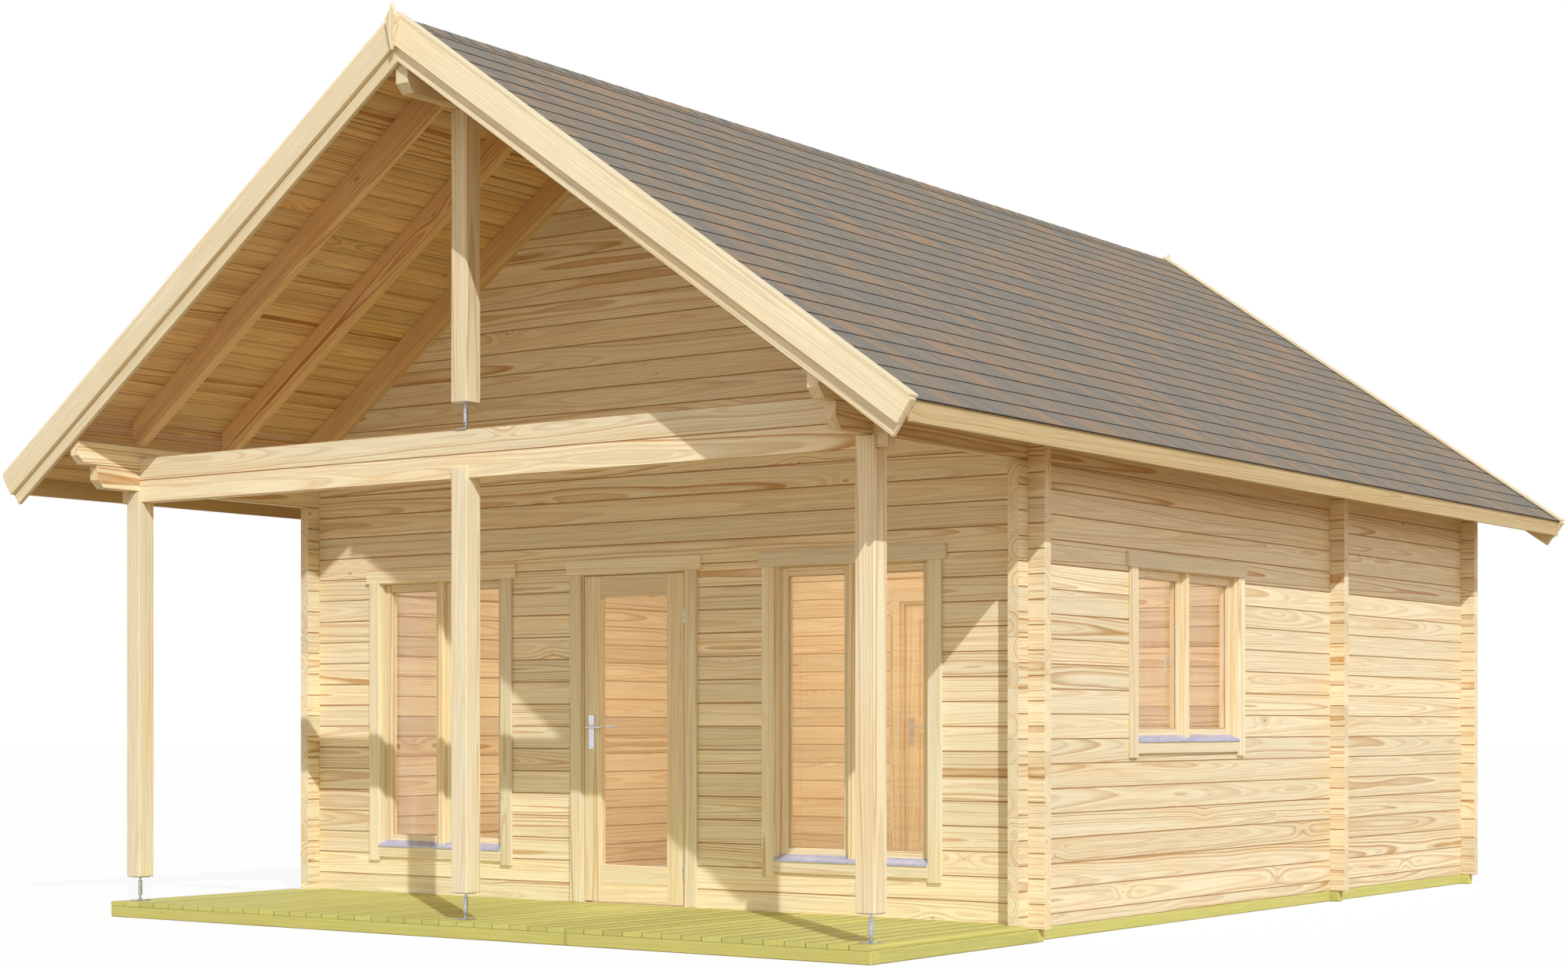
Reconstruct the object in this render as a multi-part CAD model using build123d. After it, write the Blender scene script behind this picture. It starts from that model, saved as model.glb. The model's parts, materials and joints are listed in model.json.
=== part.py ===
"""Holiday cottage of interlocking logs with a gabled porch.

The model is drawn in a wall frame: X runs across the front with zero on the middle of the entrance
door, Y runs from the outer face of the front wall to the rear, and Z rises from the top of the
foundation beams. Every node is moved on export so that the origin lies at ground level under the
middle of the whole building.
"""
import math
import os
from typing import NamedTuple

from build123d import *

# Log walls
course_height = 140.0
wall_thickness = 70.0
log_edge_chamfer = 4.0
log_end_length = 105.0
house_width = 5580.0
house_length = 6560.0
partition_distance = 4070.0
wall_courses = 20
opening_head_courses = 15
lap_depth_share = 0.25

# Clearances between neighbouring pieces, and the overrun of every cut
joint_gap = 0.4
lap_clearance = 0.3
seat_gap = 0.3
fit_gap = 0.4
cut_overrun = 20.0

# Foundation and floors
beam_height = 70.0
beam_width = 70.0
beam_end_length = 62.0
floor_thickness = 26.0
porch_depth = 1665.0
porch_side_reach = 65.0
front_room_bearers = 4
rear_room_bearers = 2
porch_bearers = 2

# Porch frame
post_size = 118.0
post_line_distance = 1515.0
post_foot_height = 152.0
post_fork_depth = 68.0
tie_beam_base_courses = 18
tie_beam_courses = 2
tie_beam_end_length = 90.0
eaves_log_courses = 2
eaves_log_lower_reach = 1880.0
eaves_log_upper_reach = 2030.0
eaves_log_rear_reach = 205.0
beam_end_chamfer = 50.0

# Adjustable post feet
foot_plate_size = 90.0
foot_plate_thickness = 6.0
foot_rod_radius = 10.0
foot_sleeve_radius = 17.0
foot_sleeve_length = 78.0
foot_nut_radius = 19.0
foot_nut_height = 16.0
foot_nut_sides = 6

# Roof
roof_rise_share = 0.70
front_overhang = 2094.0
rear_overhang = 580.0
eaves_reach = 3330.0
deck_thickness = 19.0
shingle_thickness = 8.0
shingle_eaves_overhang = 14.0
cap_lift = 3.0
cap_thickness = 18.0
cap_shingle_lap = 22.0
rafter_width = 65.0
rafter_depth = 163.0
rafter_seat_depth = 31.4
porch_rafter_bays = 2
front_room_rafter_bays = 5
rear_room_rafter_bays = 3
purlin_width = 90.0
purlin_height = 157.0
purlin_seat = 8.0
purlin_end_setback = 4.0
fascia_thickness = 20.0
fascia_height = 111.0

# Bargeboards and finials
barge_thickness = 28.0
barge_width = 208.0
barge_cover_width = 138.0
barge_end_overhang = 33.0
finial_thickness = 26.0
finial_width = 92.0
finial_height = 262.0
finial_rise = 40.0
finial_shoulder_share = 0.67
finial_waist_share = 0.34

# Casing boards round the openings
casing_width = 90.0
casing_thickness = 20.0
casing_log_lap = 60.0
casing_head_overhang = 30.0
casing_head_lift = 53.0
casing_ear_length = 25.0
casing_sill_height = 81.0
casing_sill_drop = 21.0

# Windows
front_window_distance = 1610.0
front_window_width = 1130.0
front_sill_courses = 2
side_window_distance = 1940.0
side_window_width = 1415.0
side_sill_courses = 7
window_frame_width = 43.0
window_frame_depth = 90.0
sash_width = 48.0
sash_bottom_rail = 80.0
sash_depth = 56.0
pane_thickness = 24.0
drip_rail_thickness = 3.0
drip_rail_overhang = 8.0
drip_rail_lip = 10.0
drip_rail_fall_share = 0.45

# Doors
door_leaf_width = 780.0
door_leaf_height = 2016.0
door_leaf_thickness = 44.0
door_floor_gap = 10.0
door_side_gap = 5.0
door_frame_width = 40.0
door_stop_width = 14.0
door_stop_gap = 5.0
threshold_height = 28.0
door_stile_width = 130.0
door_top_rail = 133.0
door_bottom_rail = 227.0
door_middle_rail = 140.0
door_panel_recess = 12.0
partition_door_shift = -273.0
casing_door_side_gap = 13.0

# Door furniture
handle_plate_width = 42.0
handle_plate_height = 210.0
handle_plate_thickness = 8.0
handle_plate_drop = 31.0
handle_height = 1116.0
handle_backset = 60.0
lever_length = 118.0
lever_radius = 9.0
lever_projection = 46.0
spindle_radius = 6.0
spindle_clearance = 0.05
spindle_bore_radius = 12.0
hinge_radius = 7.0
hinge_knuckle_length = 40.0
hinge_pin_radius = 3.5
hinge_pin_length = 34.0
hinge_axis_offset = 8.0
hinge_stem_radius = 3.0
hinge_stem_length = 26.0
hinge_stem_turn = 61.0
hinge_heights = (242.0, 1788.0)

# Places worked out from the sizes above
half_width = house_width / 2
right_inner = half_width - wall_thickness
rear_inner = house_length - wall_thickness
partition_rear = partition_distance + wall_thickness
lap_depth = course_height * lap_depth_share
opening_top = opening_head_courses * course_height
wall_top = wall_courses * course_height
eaves_top = wall_top + course_height / 2
roof_cos = math.cos(math.atan(roof_rise_share))
roof_sin = math.sin(math.atan(roof_rise_share))
roof_build_up = deck_thickness + shingle_thickness + cap_lift + cap_thickness
rafter_plumb_depth = rafter_depth / roof_cos
deck_peak = eaves_top - rafter_seat_depth + roof_rise_share * half_width + rafter_plumb_depth
roof_peak = deck_peak + roof_build_up / roof_cos
barge_end = eaves_reach + barge_end_overhang
finial_top = roof_peak + finial_rise
barge_layers = 2 * barge_thickness
roof_front = barge_layers - front_overhang
roof_rear = house_length + rear_overhang - barge_layers
door_opening_width = door_leaf_width + 2 * (door_side_gap + door_frame_width)
door_bottom = floor_thickness + door_floor_gap
post_bottom = floor_thickness + post_foot_height
tie_bottom = tie_beam_base_courses * course_height
tie_top = tie_bottom + tie_beam_courses * course_height
tie_front = -post_line_distance - wall_thickness / 2
purlin_side_fall = roof_rise_share * purlin_width / 2
purlin_top = deck_peak - rafter_plumb_depth - seat_gap / roof_cos - purlin_side_fall + purlin_seat
purlin_bottom = purlin_top - purlin_height
ground_move = Pos(0, -(house_length + rear_overhang - front_overhang) / 2, beam_height)


class Lap(NamedTuple):
    """Where another log crosses: its lower face along this log, and the sides that are notched."""

    at: float
    top: bool = True
    bottom: bool = True


def block(x, y, z):
    """Box between pairs of limits along each axis."""
    size = [high - low for low, high in (x, y, z)]
    middle = [(low + high) / 2 for low, high in (x, y, z)]
    return Pos(*middle) * Box(*size)


def prism_x(points, start, end):
    """Extrude a (Y, Z) outline from start to end along X."""
    plane = Plane(origin=(start, 0, 0), x_dir=(0, 1, 0), z_dir=(1, 0, 0))
    return extrude(plane * Polygon(*points, align=None), amount=end - start, dir=(1, 0, 0))


def prism_y(points, start, end):
    """Extrude an (X, Z) outline from start to end along Y."""
    plane = Plane(origin=(0, start, 0), x_dir=(1, 0, 0), z_dir=(0, -1, 0))
    return extrude(plane * Polygon(*points, align=None), amount=end - start, dir=(0, 1, 0))


def both_sides(shapes):
    """The shapes and their mirror images across the middle of the house."""
    return [*shapes, *(mirror(shape, about=Plane.YZ) for shape in shapes)]


def cut(shape, tools):
    """Shape without the tools, as a list of separate solids."""
    return list((shape - tools if tools else shape).solids())


def log_section(low, bottom, height):
    """Outline of one log with its long edges taken off, so that courses meet in a V."""
    high = low + wall_thickness
    foot = bottom + joint_gap / 2
    head = bottom + height - joint_gap / 2
    edge = log_edge_chamfer
    return [
        (low + edge, foot), (high - edge, foot), (high, foot + edge), (high, head - edge),
        (high - edge, head), (low + edge, head), (low, head - edge), (low, foot + edge),
    ]


def lap_spans(laps, bottom, height):
    """Limits along the log, and in height, of each half-lap notch."""
    for lap in laps:
        along = (lap.at - lap_clearance, lap.at + wall_thickness + lap_clearance)
        if lap.bottom:
            yield along, (bottom - cut_overrun, bottom + lap_depth + joint_gap / 2)
        if lap.top:
            yield along, (bottom + height - lap_depth - joint_gap / 2, bottom + height + cut_overrun)


def log_x(span, face, bottom, laps=(), voids=(), height=course_height):
    """Logs along X with a front face at the given Y, cut by laps and by (span, height) openings."""
    body = prism_x(log_section(face, bottom, height), *span)
    across = (face - cut_overrun, face + wall_thickness + cut_overrun)
    tools = [block(along, across, tall) for along, tall in lap_spans(laps, bottom, height)]
    tools += [block(along, across, tall) for along, tall in voids]
    return cut(body, tools)


def log_y(span, face, bottom, laps=(), voids=(), height=course_height):
    """Logs along Y with a left face at the given X, cut by laps and by (span, height) openings."""
    body = prism_y(log_section(face, bottom, height), *span)
    across = (face - cut_overrun, face + wall_thickness + cut_overrun)
    tools = [block(across, along, tall) for along, tall in lap_spans(laps, bottom, height)]
    tools += [block(across, along, tall) for along, tall in voids]
    return cut(body, tools)


def middle_span(middle, width):
    """Limits of a width about its middle."""
    return middle - width / 2, middle + width / 2


outer_span = (-half_width - log_end_length, half_width + log_end_length)
corner_laps = (Lap(-half_width), Lap(right_inner))
door_span = middle_span(0, door_opening_width)
partition_door_span = middle_span(partition_door_shift, door_opening_width)
door_void_height = (-cut_overrun, opening_top)
front_window_height = (front_sill_courses * course_height, opening_top)
side_window_height = (side_sill_courses * course_height, opening_top)
side_window_span = middle_span(side_window_distance, side_window_width)


def courses(first, last):
    """Bottoms of the full courses of the walls that run along X."""
    return [course * course_height for course in range(first, last)]


def front_wall_beside_door(side):
    """Courses between a corner and the doorway, with the window cut out."""
    window = middle_span(side * front_window_distance, front_window_width)
    span = (outer_span[0], door_span[0]) if side < 0 else (door_span[1], outer_span[1])
    laps = corner_laps[:1] if side < 0 else corner_laps[1:]
    voids = [(window, front_window_height)]
    bottoms = courses(0, opening_head_courses)
    return [log for bottom in bottoms for log in log_x(span, 0, bottom, laps, voids)]


def plain_courses(face, first, last, span=outer_span, laps=corner_laps):
    """Whole courses of a wall along X."""
    return [log for bottom in courses(first, last) for log in log_x(span, face, bottom, laps)]


def gable(face):
    """Courses above the wall head, trimmed to the roof slope and holed for the ridge purlin."""
    peak = deck_peak - seat_gap / roof_cos
    foot = wall_top - cut_overrun
    reach = (peak - foot) / roof_rise_share
    through = (face - cut_overrun, face + wall_thickness + cut_overrun)
    slope = prism_y([(-reach, foot), (reach, foot), (0, peak)], *through)
    purlin_hole = block(
        middle_span(0, purlin_width + 2 * lap_clearance),
        through,
        (purlin_bottom - lap_clearance, purlin_top + lap_clearance),
    )
    last = math.floor((peak - course_height) / course_height)
    logs = []
    for course in range(wall_courses, last + 1):
        bottom = course * course_height
        height = peak - bottom if course == last else course_height
        laps = [Lap(lap.at, top=False) for lap in corner_laps] if course == wall_courses else []
        for log in log_x(outer_span, face, bottom, laps, height=height):
            logs += cut(log & slope, [purlin_hole])
    return logs


side_laps = (Lap(0), Lap(partition_distance), Lap(rear_inner))
side_span = (-log_end_length, house_length + log_end_length)


def side_wall(face, voids=()):
    """Half log at the foot, then courses offset by half a course from the cross walls."""
    half = course_height / 2
    foot_laps = [Lap(lap.at, bottom=False) for lap in side_laps]
    logs = log_y(side_span, face, 0, foot_laps, voids, height=half)
    for course in range(wall_courses - eaves_log_courses):
        logs += log_y(side_span, face, half + course * course_height, side_laps, voids)
    return logs


def end_chamfer(end, bottom, inward):
    """Wedge that takes off the lower corner of a beam's end; inward is the way into the beam."""
    low = bottom - cut_overrun
    corner = beam_end_chamfer + cut_overrun
    tip = end - inward * cut_overrun
    side = corner + cut_overrun
    return [(tip, low), (tip + inward * side, low), (tip, low + side)]


def eaves_logs(face):
    """Top courses of a side wall, which run on over the porch and carry the rafters."""
    logs = []
    first = wall_courses - eaves_log_courses
    for course, reach in enumerate((eaves_log_lower_reach, eaves_log_upper_reach)):
        bottom = course_height / 2 + (first + course) * course_height
        is_top = course == eaves_log_courses - 1
        laps = [
            Lap(tie_front, top=not is_top),
            Lap(0),
            Lap(partition_distance, top=not is_top),
            Lap(rear_inner),
        ]
        across = (face - cut_overrun, face + wall_thickness + cut_overrun)
        rear = house_length + (eaves_log_rear_reach if is_top else log_end_length)
        wedges = [prism_x(end_chamfer(-reach, bottom, 1), *across)]
        if is_top:
            wedges.append(prism_x(end_chamfer(rear, bottom, -1), *across))
        for log in log_y((-reach, rear), face, bottom, laps):
            logs += cut(log, wedges)
    return logs


def tie_beam():
    """Two log courses across the porch, lapped with the eaves logs above the posts."""
    logs = []
    span = (-half_width - tie_beam_end_length, half_width + tie_beam_end_length)
    for course in range(tie_beam_courses):
        laps = [Lap(lap.at, bottom=course > 0) for lap in corner_laps]
        logs += log_x(span, tie_front, tie_bottom + course * course_height, laps)
    return logs


def post_places():
    """X of the three porch posts."""
    return [-half_width + wall_thickness / 2, 0, half_width - wall_thickness / 2]


def porch_posts():
    """Square posts forked at the top round the lower log of the tie beam."""
    depth = middle_span(-post_line_distance, post_size)
    fork = middle_span(-post_line_distance, wall_thickness + 2 * lap_clearance)
    posts = []
    for place in post_places():
        across = middle_span(place, post_size)
        top = tie_bottom + post_fork_depth
        post = block(across, depth, (post_bottom, top))
        wide = (across[0] - cut_overrun, across[1] + cut_overrun)
        posts += cut(post, [block(wide, fork, (tie_bottom - seat_gap, top + cut_overrun))])
    return posts


def king_post():
    """Short post from the tie beam's foot to the ridge purlin."""
    depth = middle_span(-post_line_distance, post_size)
    height = (tie_top + post_foot_height, purlin_bottom - seat_gap)
    return [block(middle_span(0, post_size), depth, height)]


def adjustable_foot(place, base):
    """Base plate, threaded rod with its lock nut, sleeve and head plate, welded as one piece."""
    top = base + post_foot_height - seat_gap
    bottom = base + seat_gap
    centre = Pos(place, -post_line_distance, bottom)
    align = (Align.CENTER, Align.CENTER, Align.MIN)
    plate = Box(foot_plate_size, foot_plate_size, foot_plate_thickness, align=align)
    rod = Cylinder(foot_rod_radius, top - bottom, align=align)
    sleeve_base = top - bottom - foot_plate_thickness - foot_sleeve_length
    sleeve = Pos(0, 0, sleeve_base) * Cylinder(foot_sleeve_radius, foot_sleeve_length, align=align)
    nut_outline = RegularPolygon(foot_nut_radius, foot_nut_sides)
    nut = Pos(0, 0, sleeve_base - foot_nut_height) * extrude(nut_outline, amount=foot_nut_height)
    head = Pos(0, 0, top - bottom - foot_plate_thickness) * plate
    return centre * (plate + rod + sleeve + nut + head)


def post_feet():
    """One foot under each porch post, and one under the king post."""
    feet = [adjustable_foot(place, floor_thickness) for place in post_places()]
    feet.append(adjustable_foot(0, tie_top))
    return feet


def spread(start, end, count):
    """Evenly spaced places strictly between two ends."""
    step = (end - start) / (count + 1)
    return [start + step * (index + 1) for index in range(count)]


def foundation_beams():
    """Cross beams under the walls, side beams between them, and bearers under the floors."""
    height = (-beam_height, 0)
    cross_reach = half_width + beam_end_length
    side = (half_width - beam_width, half_width)
    porch_side = (half_width + porch_side_reach - beam_width, half_width + porch_side_reach)
    walls = [
        (0, beam_width),
        (partition_distance, partition_distance + beam_width),
        (house_length - beam_width, house_length),
    ]
    beams = [block((-cross_reach, cross_reach), wall, height) for wall in walls]
    porch_front = (-porch_depth, beam_width - porch_depth)
    porch_reach = half_width + porch_side_reach
    beams.append(block((-porch_reach, porch_reach), porch_front, height))
    bays = [
        (porch_side, (porch_front[1], walls[0][0]), porch_bearers),
        (side, (walls[0][1], walls[1][0]), front_room_bearers),
        (side, (walls[1][1], walls[2][0]), rear_room_bearers),
    ]
    for edge, (near, far), bearers in bays:
        run = (near + fit_gap, far - fit_gap)
        beams += both_sides([block(edge, run, height)])
        reach = edge[0] - fit_gap
        for place in spread(near, far, bearers):
            beams.append(block((-reach, reach), middle_span(place, beam_width), height))
    return beams


def porch_floor():
    """Porch decking, notched round the log ends at the corners."""
    reach = half_width + porch_side_reach
    slab = block((-reach, reach), (-porch_depth, -fit_gap), (0, floor_thickness))
    notch = block(
        (right_inner - fit_gap, reach + cut_overrun),
        (-log_end_length - fit_gap, cut_overrun),
        (-cut_overrun, floor_thickness + cut_overrun),
    )
    return cut(slab, both_sides([notch]))


def room_floors():
    """Floor of the front room and of the rear room."""
    across = (-right_inner + fit_gap, right_inner - fit_gap)
    rooms = [(wall_thickness, partition_distance), (partition_rear, rear_inner)]
    return [block(across, (near + fit_gap, far - fit_gap), (0, floor_thickness)) for near, far in rooms]


def slope_point(along, lift):
    """Point of the right roof slope: X along, raised square to the deck's underside by lift."""
    return along, deck_peak - roof_rise_share * along + lift / roof_cos


def slope_sheet(low, high, inner, outer, span):
    """Layer of the right slope between two lifts, with plumb ends, run along Y."""
    corners = [(inner, low), (outer, low), (outer, high), (inner, high)]
    return prism_y([slope_point(*corner) for corner in corners], *span)


def mirrored(shapes):
    """Mirror images across the middle of the house."""
    return [mirror(shape, about=Plane.YZ) for shape in shapes]


def roof_deck():
    """Right roof deck, from ridge to fascia."""
    outer = eaves_reach - fascia_thickness - seat_gap
    span = (roof_front + seat_gap, roof_rear - seat_gap)
    return [slope_sheet(0, deck_thickness, seat_gap / 2, outer, span)]


def shingles():
    """Right slope's covering, over the deck and past the fascia."""
    outer = eaves_reach + shingle_eaves_overhang
    low = deck_thickness + seat_gap
    span = (roof_front + seat_gap, roof_rear - seat_gap)
    return [slope_sheet(low, deck_thickness + shingle_thickness, seat_gap / 2, outer, span)]


def rafter_places():
    """Y of the rafters' middles: over the porch, the front room and the rear room."""
    stand_off = rafter_width / 2 + seat_gap
    runs = [
        (-post_line_distance, -stand_off, porch_rafter_bays, 1),
        (wall_thickness + stand_off, partition_distance, front_room_rafter_bays, 0),
        (partition_rear + stand_off, rear_inner - stand_off, rear_room_rafter_bays, 1),
    ]
    places = []
    for near, far, bays, last in runs:
        places += [near + (far - near) * index / bays for index in range(bays + last)]
    return places


def rafters():
    """Pairs of rafters, seated on the purlin and on the eaves logs, where they end flush."""
    purlin = block(
        (-cut_overrun, purlin_width / 2 + seat_gap),
        (-front_overhang, roof_rear),
        (purlin_bottom, purlin_top + seat_gap),
    )
    plate = block(
        (right_inner - seat_gap, half_width + seat_gap),
        (-front_overhang, roof_rear),
        (wall_top, eaves_top + seat_gap),
    )
    rights = []
    for place in rafter_places():
        span = middle_span(place, rafter_width)
        rafter = slope_sheet(-rafter_depth, -seat_gap, seat_gap / 2, half_width, span)
        rights += cut(rafter, [purlin, plate])
    return both_sides(rights)


def ridge_purlin():
    """Beam under the ridge with both lower ends taken off."""
    front = roof_front + purlin_end_setback
    rear = roof_rear - purlin_end_setback
    across = middle_span(0, purlin_width)
    wide = (across[0] - cut_overrun, across[1] + cut_overrun)
    beam = block(across, (front, rear), (purlin_bottom, purlin_top))
    wedges = [
        prism_x(end_chamfer(front, purlin_bottom, 1), *wide),
        prism_x(end_chamfer(rear, purlin_bottom, -1), *wide),
    ]
    return cut(beam, wedges)


def fascias():
    """Eaves boards on the ends of the deck, bevelled to the slope on top."""
    inner = eaves_reach - fascia_thickness
    top = [slope_point(along, deck_thickness - seat_gap) for along in (inner, eaves_reach)]
    foot = top[1][1] - fascia_height
    outline = [(inner, foot), (eaves_reach, foot), top[1], top[0]]
    return both_sides([prism_y(outline, roof_front + seat_gap, roof_rear - seat_gap)])


def verge_board(top_lift, width, span):
    """Right-hand board along a verge with a plumb joint at the peak and a square lower end."""
    end_x, end_z = slope_point(barge_end, top_lift)
    foot = (end_x - width * roof_sin, end_z - width * roof_cos)
    joint = [slope_point(seat_gap / 2, lift) for lift in (top_lift, top_lift - width)]
    return prism_y([*joint, foot, (end_x, end_z)], *span)


def barge_lift():
    """Height of the bargeboards' upper edge, square to the deck's underside."""
    return deck_thickness + shingle_thickness + cap_lift


def bargeboards():
    """Wide board at each verge, with a narrower cover board on its face."""
    rear = house_length + rear_overhang
    layers = [
        (barge_width, (roof_front - barge_thickness, roof_front)),
        (barge_cover_width, (-front_overhang, roof_front - barge_thickness - seat_gap)),
        (barge_width, (roof_rear, roof_rear + barge_thickness)),
        (barge_cover_width, (roof_rear + barge_thickness + seat_gap, rear)),
    ]
    return both_sides([verge_board(barge_lift(), width, span) for width, span in layers])


def verge_caps():
    """Flat strips that close the top of the bargeboards and lap over the shingles."""
    spans = [
        (-front_overhang, roof_front + cap_shingle_lap),
        (roof_rear - cap_shingle_lap, house_length + rear_overhang),
    ]
    lift = barge_lift() + cap_thickness
    return both_sides([verge_board(lift, cap_thickness - seat_gap, span) for span in spans])


def finial(start):
    """Pointed board over the joint of the bargeboards, with hollow shoulders."""
    shoulder = finial_top - finial_height * (1 - finial_shoulder_share)
    half = finial_width / 2
    waist = half * finial_waist_share
    waist_height = (shoulder + finial_top) / 2
    foot = finial_top - finial_height
    edges = Polyline((-half, shoulder), (0, foot), (half, shoulder))
    edges += ThreePointArc((half, shoulder), (waist, waist_height), (0, finial_top))
    edges += ThreePointArc((0, finial_top), (-waist, waist_height), (-half, shoulder))
    plane = Plane(origin=(0, start, 0), x_dir=(1, 0, 0), z_dir=(0, -1, 0))
    return extrude(plane * make_face(edges), amount=finial_thickness, dir=(0, 1, 0))


def finials():
    """Finial of each gable."""
    front = -front_overhang - seat_gap - finial_thickness
    return [finial(front), finial(house_length + rear_overhang + seat_gap)]


class Opening(NamedTuple):
    """Rectangular hole in a wall, drawn as if it were in the front wall: span along X, and height."""

    span: tuple
    height: tuple

    def inset(self, margin):
        """The same opening drawn in on all four sides."""
        span = (self.span[0] + margin, self.span[1] - margin)
        return Opening(span, (self.height[0] + margin, self.height[1] - margin))

    def halves(self, gap):
        """Left and right halves with a gap between them."""
        middle = sum(self.span) / 2
        left = Opening((self.span[0], middle - gap / 2), self.height)
        right = Opening((middle + gap / 2, self.span[1]), self.height)
        return left, right

    def fill(self, depth):
        """Block that fills the opening between two depths behind the wall's face."""
        return block(self.span, depth, self.height)


def window_frame(opening):
    """Outer frame with a fixed post in the middle."""
    depth = (0, window_frame_depth)
    frame = opening.inset(fit_gap)
    lights = frame.inset(window_frame_width).halves(window_frame_width)
    body = frame.fill(depth)
    for light in lights:
        body -= light.fill((-cut_overrun, window_frame_depth + cut_overrun))
    return body


def sash_openings(opening):
    """Spaces of the two sashes."""
    lights = opening.inset(fit_gap + window_frame_width).halves(window_frame_width)
    return [light.inset(fit_gap) for light in lights]


def sash_depths():
    """Depths of a sash's two faces behind the wall's face."""
    return window_frame_depth - sash_depth, window_frame_depth


def sash_light(place):
    """Space inside a sash, over its taller bottom rail."""
    light = place.inset(sash_width)
    return Opening(light.span, (place.height[0] + sash_bottom_rail, light.height[1]))


def window_sashes(opening):
    """Pair of sashes."""
    front, back = sash_depths()
    through = (front - cut_overrun, back + cut_overrun)
    return [place.fill((front, back)) - sash_light(place).fill(through) for place in sash_openings(opening)]


def window_panes(opening):
    """Sealed panes in the middle of the sashes."""
    depth = middle_span(sum(sash_depths()) / 2, pane_thickness)
    return [sash_light(place).inset(fit_gap).fill(depth) for place in sash_openings(opening)]


def casing_head(opening, side_gap):
    """Head board across an opening; side_gap is the lap of the side boards over the logs."""
    reach = side_gap + casing_head_overhang
    span = (opening.span[0] - reach, opening.span[1] + reach)
    top = opening.height[1] + casing_head_lift
    return block(span, (-casing_thickness, -seat_gap), (top - casing_width, top))


def casing_sides(opening, side_gap, foot):
    """Upright boards on both sides of an opening, from foot to the head board."""
    top = opening.height[1] + casing_head_lift - casing_width - seat_gap
    outer = (opening.span[0] - side_gap, opening.span[1] + side_gap)
    depth = (-casing_thickness, -seat_gap)
    left = block((outer[0], outer[0] + casing_width), depth, (foot, top))
    right = block((outer[1] - casing_width, outer[1]), depth, (foot, top))
    return [left, right]


def sill_span(opening):
    """Limits between the side boards of a window's casing."""
    inner = casing_width - casing_log_lap + fit_gap
    return opening.span[0] + inner, opening.span[1] - inner


def sill_top(opening):
    """Upper edge of a window's sill board."""
    return opening.height[0] - casing_sill_drop + casing_sill_height


def window_casing(opening):
    """Head board, side boards that end in ears, and a sill board between them."""
    bottom = opening.height[0] - casing_sill_drop
    sill = block(sill_span(opening), (-casing_thickness, -seat_gap), (bottom, sill_top(opening)))
    sides = casing_sides(opening, casing_log_lap, bottom - casing_ear_length)
    return [casing_head(opening, casing_log_lap), *sides, sill]


def door_casing(opening, foot):
    """Head board and side boards down to the floor."""
    lap = casing_width - (door_frame_width + door_side_gap) + casing_door_side_gap + door_side_gap
    return [casing_head(opening, lap), *casing_sides(opening, lap, foot + seat_gap)]


def drip_rail(opening):
    """Bent metal rail that sheds water over the sill board, with a tongue into each light."""
    front = -casing_thickness - drip_rail_overhang
    back = sash_depths()[0] - fit_gap
    base = sill_top(opening) + seat_gap

    def under(depth):
        return base + (depth + casing_thickness) * drip_rail_fall_share

    nose = front + drip_rail_thickness
    lip = under(front) - drip_rail_lip
    outline = [
        (back, under(back)), (nose, under(nose)), (nose, lip), (front, lip),
        (front, under(front) + drip_rail_thickness), (back, under(back) + drip_rail_thickness),
    ]
    span = sill_span(opening)
    left, right = sash_openings(opening)
    behind = (-seat_gap, back + cut_overrun)
    height = (base - cut_overrun, under(back) + cut_overrun)
    members = [
        (span[0] - cut_overrun, left.span[0]),
        (left.span[1], right.span[0]),
        (right.span[1], span[1] + cut_overrun),
    ]
    return cut(prism_x(outline, *span), [block(member, behind, height) for member in members])


def to_right_wall(shape):
    """Turn a piece drawn in the front wall into the right wall."""
    return Pos(half_width, 0, 0) * Rot(0, 0, 90) * shape


front_window_spans = [middle_span(side * front_window_distance, front_window_width) for side in (-1, 1)]
front_windows = [Opening(span, front_window_height) for span in front_window_spans]
side_window = Opening(side_window_span, side_window_height)


def in_all_windows(make):
    """What make returns for each window, with the side window's turned into place."""
    shapes = []
    for opening in (*front_windows, side_window):
        made = make(opening)
        pieces = made if isinstance(made, list) else [made]
        turned = opening is side_window
        shapes += [to_right_wall(piece) if turned else piece for piece in pieces]
    return shapes


# Doors are drawn about the middle of a leaf that opens towards -Y, with its outer face on Y zero
# and its hinges on the +X side.
door_opening = Opening(middle_span(0, door_opening_width), (0, opening_top))
leaf = Opening(middle_span(0, door_leaf_width), (door_bottom, door_bottom + door_leaf_height))
hinge_x = door_leaf_width / 2 + hinge_axis_offset
handle_x = handle_backset - door_leaf_width / 2


def door_frame():
    """Two jambs, head and threshold, each with its stop behind the leaf."""
    outer = (door_opening.span[0] + fit_gap, door_opening.span[1] - fit_gap)
    clear = (leaf.span[0] - door_side_gap, leaf.span[1] + door_side_gap)
    clear_top = leaf.height[1] + door_side_gap
    top = opening_top - fit_gap
    depth = (0, wall_thickness)
    stop_depth = (door_leaf_thickness + door_stop_gap, wall_thickness)
    jamb = block((clear[1], outer[1]), depth, (seat_gap, top))
    jamb += block((clear[1] - door_stop_width, clear[1]), stop_depth, (threshold_height + fit_gap, top))
    inside = (clear[0] + fit_gap, clear[1] - fit_gap)
    between = (inside[0] + door_stop_width, inside[1] - door_stop_width)
    head = block(inside, (0, stop_depth[0] - fit_gap), (clear_top, top))
    head += block(between, (0, wall_thickness), (clear_top, top))
    head += block(between, stop_depth, (clear_top - door_stop_width, clear_top))
    threshold = block(inside, depth, (seat_gap, threshold_height))
    return [*both_sides([jamb]), head, threshold]


def handle_bore(radius, depth):
    """Round hole for the spindle between two depths."""
    length = depth[1] - depth[0]
    middle = (depth[0] + depth[1]) / 2
    return Pos(handle_x, middle, handle_height) * Rot(90, 0, 0) * Cylinder(radius, length)


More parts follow.
